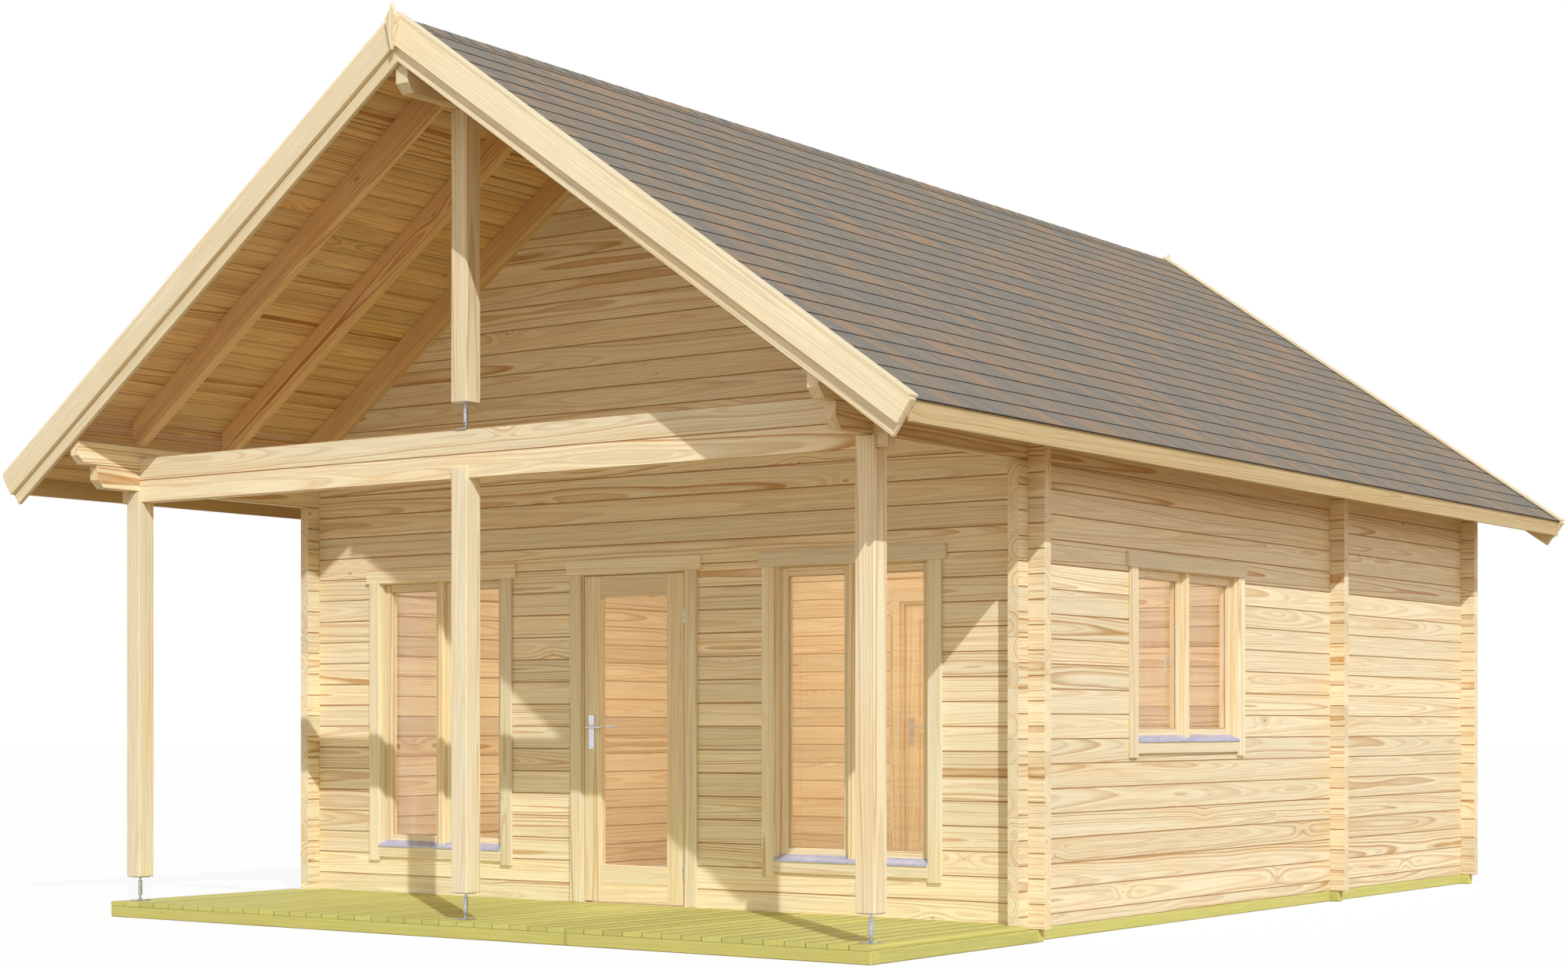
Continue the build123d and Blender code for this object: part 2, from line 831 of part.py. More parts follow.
def door_light():
    """Glazed opening of the entrance leaf."""
    span = (leaf.span[0] + door_stile_width, leaf.span[1] - door_stile_width)
    return Opening(span, (leaf.height[0] + door_bottom_rail, leaf.height[1] - door_top_rail))


def leaf_through():
    """Depths that run past both faces of a leaf."""
    return -cut_overrun, door_leaf_thickness + cut_overrun


def glazed_leaf():
    """Entrance leaf: stiles and rails round one tall pane."""
    body = leaf.fill((0, door_leaf_thickness)) - door_light().fill(leaf_through())
    return [body - handle_bore(spindle_bore_radius, leaf_through())]


def door_pane():
    """Pane of the entrance leaf."""
    return [door_light().inset(fit_gap).fill(middle_span(door_leaf_thickness / 2, pane_thickness))]


def panelled_leaf():
    """Partition leaf: solid, with a recessed panel above and below a middle rail on both faces."""
    body = leaf.fill((0, door_leaf_thickness)) - handle_bore(spindle_bore_radius, leaf_through())
    light = door_light()
    rail = middle_span(handle_height, door_middle_rail)
    near, far = leaf_through()
    faces = [(near, door_panel_recess), (door_leaf_thickness - door_panel_recess, far)]
    for height in ((light.height[0], rail[0]), (rail[1], light.height[1])):
        for depth in faces:
            body -= Opening(light.span, height).fill(depth)
    return [body]


def handle_plates():
    """Back plates on both faces of a leaf, bored for the spindle."""
    span = middle_span(handle_x, handle_plate_width)
    height = middle_span(handle_height - handle_plate_drop, handle_plate_height)
    plates = []
    for face, way in ((0, -1), (door_leaf_thickness, 1)):
        limits = sorted((face + way * seat_gap, face + way * handle_plate_thickness))
        plate = block(span, limits, height)
        plates.append(plate - handle_bore(spindle_radius + spindle_clearance, leaf_through()))
    return plates


def lever():
    """Both lever arms on one spindle through the leaf."""
    outer = -handle_plate_thickness - seat_gap
    inner = door_leaf_thickness + handle_plate_thickness + seat_gap
    body = handle_bore(spindle_radius, (outer - lever_projection / 2, inner + lever_projection / 2))
    for face, way in ((outer, -1), (inner, 1)):
        tip = face + way * lever_projection
        body += handle_bore(lever_radius, sorted((face, tip)))
        start = Pos(handle_x, tip, handle_height)
        body += start * Sphere(lever_radius)
        arm = Cylinder(lever_radius, lever_length, align=(Align.CENTER, Align.CENTER, Align.MIN))
        body += start * Rot(0, 90, 0) * arm
    return [body]


def hinge_column(radius, low, high):
    """Round piece on the hinge axis between two heights."""
    align = (Align.CENTER, Align.CENTER, Align.MIN)
    return Pos(hinge_x, -hinge_axis_offset, low) * Cylinder(radius, high - low, align=align)


def hinge_stem(turn, height):
    """Stem from a knuckle into the wood, turned from +Y about the hinge axis."""
    align = (Align.CENTER, Align.CENTER, Align.MIN)
    stem = Cylinder(hinge_stem_radius, hinge_stem_length, align=align)
    return Pos(hinge_x, -hinge_axis_offset, height) * Rot(0, 0, turn) * Rot(-90, 0, 0) * stem


def hinge_pins():
    """Lower knuckles on the jamb, each with the pin that carries the leaf."""
    pins = []
    for height in hinge_heights:
        knuckle = hinge_column(hinge_radius, height - hinge_knuckle_length, height)
        pin = hinge_column(hinge_pin_radius, height - hinge_radius, height + hinge_pin_length)
        pins.append(knuckle + pin + hinge_stem(0, height - hinge_knuckle_length / 2))
    return pins


def hinge_knuckles():
    """Upper knuckles on the leaf, bored for the pins."""
    knuckles = []
    for height in hinge_heights:
        base = height + seat_gap
        knuckle = hinge_column(hinge_radius, base, base + hinge_knuckle_length)
        knuckle += hinge_stem(hinge_stem_turn, base + hinge_knuckle_length / 2)
        bore_radius = hinge_pin_radius + spindle_clearance
        bore = hinge_column(bore_radius, height - cut_overrun, height + hinge_pin_length + fit_gap)
        knuckles.append(knuckle - bore)
    return knuckles


def in_partition(shapes):
    """Door pieces turned to open into the rear room, in the partition."""
    place = Pos(partition_door_shift, partition_rear, 0)
    return [place * mirror(shape, about=Plane.XZ) for shape in shapes]


def partition_casing():
    """Casing on the front-room face of the partition."""
    opening = Opening(partition_door_span, door_opening.height)
    return [Pos(0, partition_distance, 0) * board for board in door_casing(opening, floor_thickness)]


def cottage():
    """Every node's solids in the wall frame."""
    left_span = (outer_span[0], partition_door_span[0])
    right_span = (partition_door_span[1], outer_span[1])
    door_courses = (0, opening_head_courses)
    head_courses = (opening_head_courses, wall_courses)
    return {
        "foundation_beams": foundation_beams(),
        "porch_floor": porch_floor(),
        "room_floors": room_floors(),
        "front_wall_left": front_wall_beside_door(-1),
        "front_wall_right": front_wall_beside_door(1),
        "front_wall_head": plain_courses(0, *head_courses),
        "front_gable": gable(0),
        "left_wall": side_wall(-half_width),
        "right_wall": side_wall(right_inner, [(side_window_span, side_window_height)]),
        "rear_wall": plain_courses(rear_inner, 0, wall_courses),
        "rear_gable": gable(rear_inner),
        "partition_left": plain_courses(partition_distance, *door_courses, left_span, corner_laps[:1]),
        "partition_right": plain_courses(partition_distance, *door_courses, right_span, corner_laps[1:]),
        "partition_head": plain_courses(partition_distance, *head_courses),
        "left_eaves_logs": eaves_logs(-half_width),
        "right_eaves_logs": eaves_logs(right_inner),
        "tie_beam": tie_beam(),
        "porch_posts": porch_posts(),
        "king_post": king_post(),
        "post_feet": post_feet(),
        "ridge_purlin": ridge_purlin(),
        "rafters": rafters(),
        "left_roof_deck": mirrored(roof_deck()),
        "right_roof_deck": roof_deck(),
        "left_shingles": mirrored(shingles()),
        "right_shingles": shingles(),
        "fascias": fascias(),
        "bargeboards": bargeboards(),
        "verge_caps": verge_caps(),
        "finials": finials(),
        "window_frames": in_all_windows(window_frame),
        "window_sashes": in_all_windows(window_sashes),
        "window_panes": in_all_windows(window_panes),
        "window_casings": in_all_windows(window_casing),
        "drip_rails": in_all_windows(drip_rail),
        "door_frame": door_frame(),
        "door_casing": door_casing(door_opening, floor_thickness),
        "door_hinge_pins": hinge_pins(),
        "door_leaf": glazed_leaf(),
        "door_pane": door_pane(),
        "door_handle_plates": handle_plates(),
        "door_hinge_knuckles": hinge_knuckles(),
        "door_lever": lever(),
        "partition_door_frame": in_partition(door_frame()),
        "partition_door_casing": partition_casing(),
        "partition_door_hinge_pins": in_partition(hinge_pins()),
        "partition_door_leaf": in_partition(panelled_leaf()),
        "partition_door_handle_plates": in_partition(handle_plates()),
        "partition_door_hinge_knuckles": in_partition(hinge_knuckles()),
        "partition_door_lever": in_partition(lever()),
    }


os.makedirs("parts", exist_ok=True)
for node, shapes in cottage().items():
    solids = [solid for shape in shapes for solid in (ground_move * shape).solids()]
    export_step(Compound(solids) if len(solids) > 1 else solids[0], f"parts/{node}.step")
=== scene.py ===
"""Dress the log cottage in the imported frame: timber, roof covering, joinery, metalwork and studio."""
import json
import logging
import math
from dataclasses import dataclass, field
from enum import Enum
from typing import Any, Iterable, Sequence

import bmesh
import bpy
import numpy as np
from mathutils import Matrix, Vector

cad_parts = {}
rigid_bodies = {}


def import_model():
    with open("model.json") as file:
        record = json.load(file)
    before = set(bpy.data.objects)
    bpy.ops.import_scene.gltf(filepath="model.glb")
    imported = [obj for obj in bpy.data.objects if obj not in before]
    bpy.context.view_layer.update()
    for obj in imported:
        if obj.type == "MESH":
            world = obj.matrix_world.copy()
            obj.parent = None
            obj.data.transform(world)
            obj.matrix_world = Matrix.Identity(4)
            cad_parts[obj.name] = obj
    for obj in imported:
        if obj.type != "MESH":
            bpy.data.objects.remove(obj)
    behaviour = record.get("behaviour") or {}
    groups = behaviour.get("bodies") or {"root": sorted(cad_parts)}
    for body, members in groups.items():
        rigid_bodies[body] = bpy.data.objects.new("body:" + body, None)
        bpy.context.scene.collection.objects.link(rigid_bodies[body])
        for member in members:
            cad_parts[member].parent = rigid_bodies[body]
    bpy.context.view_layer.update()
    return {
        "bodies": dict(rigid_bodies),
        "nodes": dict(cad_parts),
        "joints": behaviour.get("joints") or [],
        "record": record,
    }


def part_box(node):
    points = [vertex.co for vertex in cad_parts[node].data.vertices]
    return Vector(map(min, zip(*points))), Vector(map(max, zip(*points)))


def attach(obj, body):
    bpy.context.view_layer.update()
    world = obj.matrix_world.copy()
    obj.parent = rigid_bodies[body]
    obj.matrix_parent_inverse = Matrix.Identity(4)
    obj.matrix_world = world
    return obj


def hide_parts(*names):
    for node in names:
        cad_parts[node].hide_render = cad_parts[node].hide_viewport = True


LOG = logging.getLogger("cottage")
HOUSE = "house"
WHITE = (1.0, 1.0, 1.0)
ROOF_RISE = 0.70
ROOF_ANGLE = math.atan(ROOF_RISE)
NUMBER = "NodeSocketFloat"
COUNT = "NodeSocketInt"
MERGE_DISTANCE = 1e-5
FLAT_ANGLE = math.radians(0.5)
LEVEL_NORMAL = 0.9
END_NORMAL = 0.5
TIMBER_SEED = 100
Colour = tuple[float, float, float]
Limits = tuple[float, float]
Rectangle = tuple[Limits, Limits]
Socket = bpy.types.NodeSocket
Node = bpy.types.Node
Tree = bpy.types.NodeTree
Mesh = bpy.types.Mesh
BMesh = bmesh.types.BMesh


def rgba(colour: Any) -> Any:
    """A colour of three numbers with alpha one; anything else as it is.

    Args:
        colour: Three numbers, or any other value of a socket.

    Returns:
        Four numbers, or the value.
    """
    if isinstance(colour, tuple) and len(colour) == 3:
        return (*colour, 1.0)
    return colour


def inset(limits: Limits, margin: float) -> Limits:
    """Limits drawn in at both ends."""
    return limits[0] + margin, limits[1] - margin


class Wiring:
    """Short way to add and link the nodes of one tree."""

    def __init__(self, tree: Tree) -> None:
        """Keep the tree that the nodes go into."""
        self.tree = tree

    def add(self, kind: str, settings: dict | None = None, inputs: dict | None = None) -> Node:
        """Add a node.

        Args:
            kind: Blender's name of the node type.
            settings: Properties to set on the node.
            inputs: Values or sockets by input name, identifier or number.

        Returns:
            The new node.
        """
        node = self.tree.nodes.new(kind)
        for name, value in (settings or {}).items():
            setattr(node, name, value)
        self.fill(node, inputs or {})
        return node

    def fill(self, node: Node, inputs: dict) -> None:
        """Feed several inputs of a node by name, identifier or number."""
        for name, value in inputs.items():
            self.feed(self.socket(node, name), value)

    @staticmethod
    def socket(node: Node, name: str | int) -> Socket:
        """Input of a node by number, identifier or name.

        Args:
            node: Node of the tree.
            name: Number, identifier or name.

        Returns:
            The input.
        """
        if isinstance(name, int):
            return node.inputs[name]
        for socket in node.inputs:
            if socket.identifier == name:
                return socket
        return node.inputs[name]

    def feed(self, socket: Socket, value: Any) -> None:
        """Link a socket to another, or set its own value.

        Args:
            socket: Input that is fed.
            value: Output to link, or a value.
        """
        if isinstance(value, Socket):
            self.tree.links.new(value, socket)
        else:
            socket.default_value = value

    def source(self) -> Any:
        """Inputs of the group, as sockets by name."""
        return self.tree.nodes["Group Input"].outputs

    def math(self, operation: str, *values: Any) -> Socket:
        """Result of a Math node on numbers or sockets."""
        return self.add("ShaderNodeMath", {"operation": operation}, dict(enumerate(values))).outputs[0]

    def times(self, first: Any, second: Any) -> Socket:
        """Product of two numbers or sockets."""
        return self.math("MULTIPLY", first, second)

    def plus(self, first: Any, second: Any) -> Socket:
        """Sum of two numbers or sockets."""
        return self.math("ADD", first, second)

    def minus(self, first: Any, second: Any) -> Socket:
        """Difference of two numbers or sockets."""
        return self.math("SUBTRACT", first, second)

    def over(self, first: Any, second: Any) -> Socket:
        """Quotient of two numbers or sockets."""
        return self.math("DIVIDE", first, second)

    def times_plus(self, value: Any, factor: Any, added: Any) -> Socket:
        """A value times a factor, with a number or socket added."""
        return self.math("MULTIPLY_ADD", value, factor, added)

    def combine(self, x: Any, y: Any, z: Any) -> Socket:
        """Vector from three numbers or sockets."""
        return self.add("ShaderNodeCombineXYZ", None, {0: x, 1: y, 2: z}).outputs[0]

    def split(self, vector: Socket) -> Sequence[Socket]:
        """The three parts of a vector or colour socket."""
        return self.add("ShaderNodeSeparateXYZ", None, {0: vector}).outputs

    def ramp(self, value: Any, limits: Limits, ends: Limits = (0.0, 1.0)) -> Socket:
        """Smooth step from one end to the other as a value goes from limit to limit.

        Args:
            value: Value that is measured.
            limits: Where the step starts and ends.
            ends: Results at the two limits.

        Returns:
            The result.
        """
        span = {"From Min": limits[0], "From Max": limits[1], "To Min": ends[0], "To Max": ends[1]}
        settings = {"interpolation_type": "SMOOTHSTEP"}
        return self.add("ShaderNodeMapRange", settings, {"Value": value, **span}).outputs[0]

    def mix(self, share: Any, first: Any, second: Any, blend: str = "MIX") -> Socket:
        """Colour mixed from two colours.

        Args:
            share: Share of the second colour.
            first: First colour.
            second: Second colour.
            blend: Way of mixing.

        Returns:
            The mixed colour.
        """
        settings = {"data_type": "RGBA", "blend_type": blend, "clamp_factor": True}
        inputs = {"Factor_Float": share, "A_Color": rgba(first), "B_Color": rgba(second)}
        return self.add("ShaderNodeMix", settings, inputs).outputs[2]

    def shade(self, colour: Any, value: Socket) -> Socket:
        """Colour multiplied by one value in all three channels."""
        return self.mix(1.0, colour, self.combine(value, value, value), "MULTIPLY")

    def noise(self, vector: Any, scale: float = 1.0, detail: float = 2.0) -> Node:
        """Noise texture on a vector."""
        return self.add("ShaderNodeTexNoise", None, {"Vector": vector, "Scale": scale, "Detail": detail})

    def speckle(self, scale: float, detail: float = 2.0) -> Socket:
        """Noise in the object's own coordinates."""
        return self.noise(self.add("ShaderNodeTexCoord").outputs["Object"], scale, detail).outputs["Fac"]

    def draw(self, number: Any) -> Node:
        """White noise on a number."""
        return self.add("ShaderNodeTexWhiteNoise", {"noise_dimensions": "1D"}, {"W": number})

    def bump(self, strength: float, distance: float, height: Socket) -> Socket:
        """Normal raised by a height."""
        inputs = {"Strength": strength, "Distance": distance, "Height": height}
        return self.add("ShaderNodeBump", None, inputs).outputs[0]

    def blend(self, share: Any, first: Node, second: Node) -> Socket:
        """Shader mixed from those of two nodes."""
        inputs = {0: share, 1: first.outputs[0], 2: second.outputs[0]}
        return self.add("ShaderNodeMixShader", None, inputs).outputs[0]

    def attribute(self, name: str) -> Any:
        """Outputs of an attribute of the piece's own mesh."""
        return self.add("ShaderNodeAttribute", {"attribute_name": name}).outputs

    def geometry(self, kind: str, inputs: dict | None = None, settings: dict | None = None) -> Socket:
        """First output of a new geometry node, named without its prefix."""
        return self.add(f"GeometryNode{kind}", settings, inputs).outputs[0]

    def store(self, geometry: Socket, name: str, value: Any, kind: str, domain: str) -> Socket:
        """Geometry with a named attribute stored on it."""
        inputs = {0: geometry, "Name": name, "Value": value}
        return self.geometry("StoreNamedAttribute", inputs, {"data_type": kind, "domain": domain})

    def finish_geometry(self, geometry: Socket) -> Tree:
        """End a geometry tree with realised instances and their material.

        Args:
            geometry: Geometry with instances.

        Returns:
            The finished tree.
        """
        real = self.geometry("RealizeInstances", {0: geometry})
        dressed = self.geometry("SetMaterial", {"Geometry": real, "Material": self.source()["Material"]})
        self.feed(self.tree.nodes["Group Output"].inputs[0], dressed)
        return self.tree


def new_group(name: str, kind: str, inputs: dict[str, tuple[str, Any]], outputs: dict[str, str]) -> Wiring:
    """Start a node group.

    Args:
        name: Name of the group.
        kind: ShaderNodeTree or GeometryNodeTree.
        inputs: Socket type and default by input name.
        outputs: Socket type by output name.

    Returns:
        Wiring of the group's tree, which has its input and output nodes.
    """
    tree = bpy.data.node_groups.new(name, kind)
    for label, (socket_type, default) in inputs.items():
        socket = tree.interface.new_socket(label, in_out="INPUT", socket_type=socket_type)
        if default is not None:
            socket.default_value = default
    for label, socket_type in outputs.items():
        tree.interface.new_socket(label, in_out="OUTPUT", socket_type=socket_type)
    net = Wiring(tree)
    net.add("NodeGroupInput")
    net.add("NodeGroupOutput")
    return net


def new_geometry(name: str, inputs: dict[str, tuple[str, Any]]) -> Wiring:
    """Start a geometry group, which also takes a material."""
    taken = {**inputs, "Material": ("NodeSocketMaterial", None)}
    return new_group(name, "GeometryNodeTree", taken, {"Geometry": "NodeSocketGeometry"})


def new_material(name: str) -> tuple[Wiring, Node]:
    """Start a material.

    Args:
        name: Name of the material.

    Returns:
        Wiring of the material's tree and its Principled BSDF.
    """
    material = bpy.data.materials.new(name)
    material.use_nodes = True
    return Wiring(material.node_tree), material.node_tree.nodes["Principled BSDF"]


@dataclass(frozen=True)
class PineGrowth:
    """Shader group that grows rings, fibres and knots in a piece's own grain frame, in metres."""

    name: str = "pine_growth"
    masks: tuple[str, ...] = ("Ring", "Fibre", "Patch", "Knot", "Tone", "Hue", "Groove Shade", "Height")
    draw_spread: float = 913.7
    along_shift: float = 60.0
    across_shift: float = 31.0
    side_spread: float = 7.13
    pith_share: float = 0.25
    pith_offset: float = 0.11
    drift_rate: float = 0.55
    drift_spread: float = 91.7
    taper: float = 0.010
    warp_rates: Limits = (1.1, 8.0)
    warp_push: float = 0.016
    knot_squeeze: float = 0.4
    knot_rate: float = 2.3
    knot_radius: float = 0.005
    knot_growth: float = 0.008
    knot_rim: Limits = (0.25, 1.15)
    swirl_reach: float = 0.05
    swirl_push: float = 0.022
    late_rise: Limits = (0.30, 0.90)
    late_fall: Limits = (0.92, 1.0)
    year_spread: float = 77.0
    year_power: float = 1.8
    year_strength: Limits = (0.12, 0.9)
    figure: Limits = (0.6, 0.8)
    line_rate: float = 2.7
    line_rise: Limits = (0.55, 1.0)
    line_strength: float = 0.34
    fibre_rates: Limits = (3.0, 150.0)
    fibre_detail: float = 3.0
    patch_rates: Colour = (0.9, 6.0, 40.0)
    fibre_height: float = 0.5
    ring_height: float = -0.6

    def tree(self) -> Tree:
        """The group, built once; its outputs are masks and a height that change over the surface.

        Returns:
            The shader group.
        """
        found = bpy.data.node_groups.get(self.name)
        if found:
            return found
        inputs = {
            "Ring Pitch": (NUMBER, 0.014),
            "Pith Depth": (NUMBER, 0.07),
            "Wander": (NUMBER, 0.03),
            "Knot Share": (NUMBER, 0.5),
        }
        net = new_group(self.name, "ShaderNodeTree", inputs, {name: NUMBER for name in self.masks})
        along, across, through = net.split(net.attribute("grain")["Vector"])
        tone = net.attribute("tone")["Fac"]
        draws = net.split(net.draw(net.times(tone, self.draw_spread)).outputs["Color"])
        along = net.times_plus(draws[0], self.along_shift, along)
        place = (along, across, through)
        knot, swirl = self.knots(net, place, tone)
        distance = self.distance(net, place, tone, draws)
        distance = net.times_plus(along, self.taper, net.plus(distance, swirl))
        ring = self.rings(net, self.warped(net, distance, place, tone), tone, draws[1])
        slow, fast = self.fibre_rates
        fibre_at = [net.times(part, rate) for part, rate in zip(place, (slow, fast, fast))]
        fibre = net.noise(net.combine(*fibre_at), detail=self.fibre_detail).outputs["Fac"]
        patch_at = [net.times(part, rate) for part, rate in zip((along, across, tone), self.patch_rates)]
        patch = net.noise(net.combine(*patch_at)).outputs["Fac"]
        height = net.times_plus(fibre, self.fibre_height, net.times(ring, self.ring_height))
        # The groove mask marks joint faces, where the finishes lay painted shade as well as the joints'
        # darker cut.
        groove_shade = net.attribute("groove_shade")["Fac"]
        values = (ring, fibre, patch, knot, draws[0], draws[2], groove_shade, height)
        net.fill(net.tree.nodes["Group Output"], dict(enumerate(values)))
        return net.tree

    def distance(
        self, net: Wiring, place: Sequence[Socket], tone: Socket, draws: Sequence[Socket],
    ) -> Socket:
        """Distance from the pith, which lies under or over the board and wanders along it.

        Args:
            net: Wiring of the tree that is being built.
            place: Coordinates along, across and through the board.
            tone: Number of the board, between zero and one.
            draws: Random numbers of the board.

        Returns:
            The distance in metres.
        """
        along, across, through = place
        _, second, third = draws
        wander = net.source()["Wander"]
        sign = net.minus(net.math("FRACT", net.times(third, self.side_spread)), 0.5)
        depth = net.times_plus(third, 1.0 - self.pith_share, self.pith_share)
        depth = net.times(depth, net.source()["Pith Depth"])
        drift_at = (net.times(along, self.drift_rate), net.times(tone, self.drift_spread), 0.0)
        drift = net.noise(net.combine(*drift_at), detail=1.0).outputs["Color"]
        drift_y, drift_z, _ = net.split(drift)
        y = net.plus(across, net.times(net.minus(second, 0.5), self.pith_offset))
        y = net.times_plus(net.minus(drift_y, 0.5), wander, y)
        z = net.times_plus(depth, net.math("SIGN", sign), through)
        z = net.times_plus(net.minus(drift_z, 0.5), wander, z)
        return net.math("SQRT", net.plus(net.times(y, y), net.times(z, z)))

    def warped(self, net: Wiring, distance: Socket, place: Sequence[Socket], tone: Socket) -> Socket:
        """Distance from the pith with the small waves of a grown trunk.

        Args:
            net: Wiring of the tree that is being built.
            distance: Distance from the pith.
            place: Coordinates along, across and through the board.
            tone: Number of the board, between zero and one.

        Returns:
            The distance with its waves.
        """
        along, across, through = place
        slow, fast = self.warp_rates
        warp_at = (net.times(along, slow), net.times(across, fast), net.plus(through, tone))
        warp = net.minus(net.noise(net.combine(*warp_at)).outputs["Fac"], 0.5)
        return net.times_plus(warp, self.warp_push, distance)

    def knots(self, net: Wiring, place: Sequence[Socket], tone: Socket) -> tuple[Socket, Socket]:
        """Mask of the knots, and how far they push the rings aside.

        Args:
            net: Wiring of the tree that is being built.
            place: Coordinates along, across and through the board.
            tone: Number of the board, between zero and one.

        Returns:
            The mask and the push.
        """
        along, across, _ = place
        shifted = net.plus(across, net.times(tone, self.across_shift))
        at = net.combine(net.times(along, self.knot_squeeze), shifted, 0.0)
        inputs = {"Vector": at, "Scale": self.knot_rate}
        cells = net.add("ShaderNodeTexVoronoi", {"voronoi_dimensions": "2D"}, inputs).outputs
        chance, size, _ = net.split(cells["Color"])
        present = net.math("GREATER_THAN", net.source()["Knot Share"], chance)
        reach = net.over(cells["Distance"], self.knot_rate)
        radius = net.times_plus(size, self.knot_growth, self.knot_radius)
        knot = net.times(net.ramp(net.over(reach, radius), self.knot_rim, (1.0, 0.0)), present)
        fall = net.math("POWER", net.over(reach, self.swirl_reach), 2.0)
        swirl = net.math("EXPONENT", net.times(fall, -1.0))
        return knot, net.times(net.times(swirl, present), self.swirl_push)

    def rings(self, net: Wiring, distance: Socket, tone: Socket, draw: Socket) -> Socket:
        """Mask of the late wood, with a strength of its own for each year and fine lines between.

        Args:
            net: Wiring of the tree that is being built.
            distance: Warped distance from the pith.
            tone: Number of the board, between zero and one.
            draw: Random number of the board.

        Returns:
            The mask.
        """
        phase = net.over(distance, net.source()["Ring Pitch"])
        place = net.math("FRACT", phase)
        fall = net.ramp(place, self.late_fall, (1.0, 0.0))
        late = net.times(net.ramp(place, self.late_rise), fall)
        year = net.draw(net.times_plus(tone, self.year_spread, net.math("FLOOR", phase)))
        least, more = self.year_strength
        share = net.math("POWER", year.outputs["Value"], self.year_power)
        strength = net.times_plus(share, more, least)
        plain, lively = self.figure
        ring = net.times(net.times(late, strength), net.times_plus(draw, lively, plain))
        line = net.math("PINGPONG", net.times(phase, self.line_rate), 1.0)
        fine = net.ramp(line, self.line_rise, (0.0, self.line_strength))
        return net.math("MAXIMUM", net.math("MINIMUM", ring, 1.0), fine)


PINE_GROWTH = PineGrowth()


class Finish:
    """Look of a piece: a material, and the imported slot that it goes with."""

    name: str
    slot: str

    def material(self) -> bpy.types.Material:
        """The finish as a material, made once.

        Returns:
            The material.
        """
        if self.name not in bpy.data.materials:
            self.wire(*new_material(self.name))
        return bpy.data.materials[self.name]

    def wire(self, net: Wiring, shader: Node) -> None:
        """Add the material's nodes and feed the shader; each kind of finish has its own way."""
        raise NotImplementedError


@dataclass(frozen=True)
class PineFinish(Finish):
    """Planed softwood with its early and late wood, knots and a random tone for each board."""

    name: str
    slot: str
    early: Colour
    late: Colour
    warm: Colour
    knot: Colour
    ring_pitch: float
    knot_share: float
    ring_strength: float
    pith_depth: float = 0.07
    wander: float = 0.03
    # Colour laid on the groove faces between logs and boards: partly the joints' own darker cut, partly
    # painted shade in the gaps.
    joint: Colour = (0.46, 0.26, 0.10)
    joint_shade_share: float = 0.8
    roughness: float = 0.58
    ring_gloss: float = -0.12
    specular: float = 0.3
    warm_patch: Limits = (0.45, 0.75)
    warm_share: float = 0.45
    fibre_rise: Limits = (0.3, 0.7)
    fibre_shade: Limits = (0.90, 1.04)
    tone_shade: Limits = (0.90, 0.20)
    rosy: Colour = (1.0, 0.95, 0.88)
    rosy_rise: Limits = (0.55, 1.0)
    rosy_share: float = 0.6
    knot_strength: float = 0.75
    bump: float = 0.12
    bump_distance: float = 0.002

    def wire(self, net: Wiring, shader: Node) -> None:
        """Colour the grown rings, fibres, patches and knots, and darken the joints, partly with painted
        shade.

        Args:
            net: Wiring of the tree that is being built.
            shader: Principled shader of the material.
        """
        growth = net.add("ShaderNodeGroup", {"node_tree": PINE_GROWTH.tree()})
        grown = {
            "Ring Pitch": self.ring_pitch, "Pith Depth": self.pith_depth, "Wander": self.wander,
            "Knot Share": self.knot_share,
        }
        for name, value in grown.items():
            growth.inputs[name].default_value = value
        masks = growth.outputs
        colour = net.mix(net.times(masks["Ring"], self.ring_strength), self.early, self.late)
        warm = net.times(net.ramp(masks["Patch"], self.warm_patch), self.warm_share)
        colour = net.mix(warm, colour, self.warm, "MULTIPLY")
        fibre = net.ramp(masks["Fibre"], self.fibre_rise, self.fibre_shade)
        least, more = self.tone_shade
        colour = net.shade(colour, net.times(fibre, net.times_plus(masks["Tone"], more, least)))
        rosy = net.ramp(masks["Hue"], self.rosy_rise, (0.0, self.rosy_share))
        colour = net.mix(rosy, colour, self.rosy, "MULTIPLY")
        colour = net.mix(net.times(masks["Knot"], self.knot_strength), colour, self.knot)
        # Groove faces take the joint colour: partly the darker cut of the joints, partly painted shade in
        # the gaps between logs and boards.
        colour = net.mix(net.times(masks["Groove Shade"], self.joint_shade_share), colour, self.joint)
        net.fill(shader, {
            "Base Color": colour,
            "Roughness": net.times_plus(masks["Ring"], self.ring_gloss, self.roughness),
            "Specular IOR Level": self.specular,
            "Normal": net.bump(self.bump, self.bump_distance, masks["Height"]),
        })


LOG_PINE = PineFinish(
    "log_pine_grown", "log_pine", (0.905, 0.815, 0.582), (0.58, 0.33, 0.12), (1.0, 0.86, 0.62),
    knot=(0.42, 0.20, 0.07), ring_pitch=0.0145, knot_share=0.32, ring_strength=1.1, pith_depth=0.09,
    wander=0.07,
)
# The pine of the rafters and ceiling boards is a darker, more orange copy of the log pine: painted warm
# shade for the undersides of the roof.
CEILING_PINE_PAINTED_SHADE = PineFinish(
    "ceiling_pine_painted_shade", "log_pine", (0.86, 0.645, 0.36), (0.50, 0.23, 0.06), (1.0, 0.84, 0.58),
    knot=(0.36, 0.16, 0.05), ring_pitch=0.017, knot_share=0.35, ring_strength=1.2, wander=0.06,
    joint_shade_share=0.45,
)
PLANED_PINE = PineFinish(
    "planed_pine_grown", "planed_pine", (0.88, 0.80, 0.58), (0.57, 0.33, 0.12), (1.0, 0.88, 0.66),
    knot=(0.42, 0.20, 0.07), ring_pitch=0.0145, knot_share=0.16, ring_strength=0.65,
)
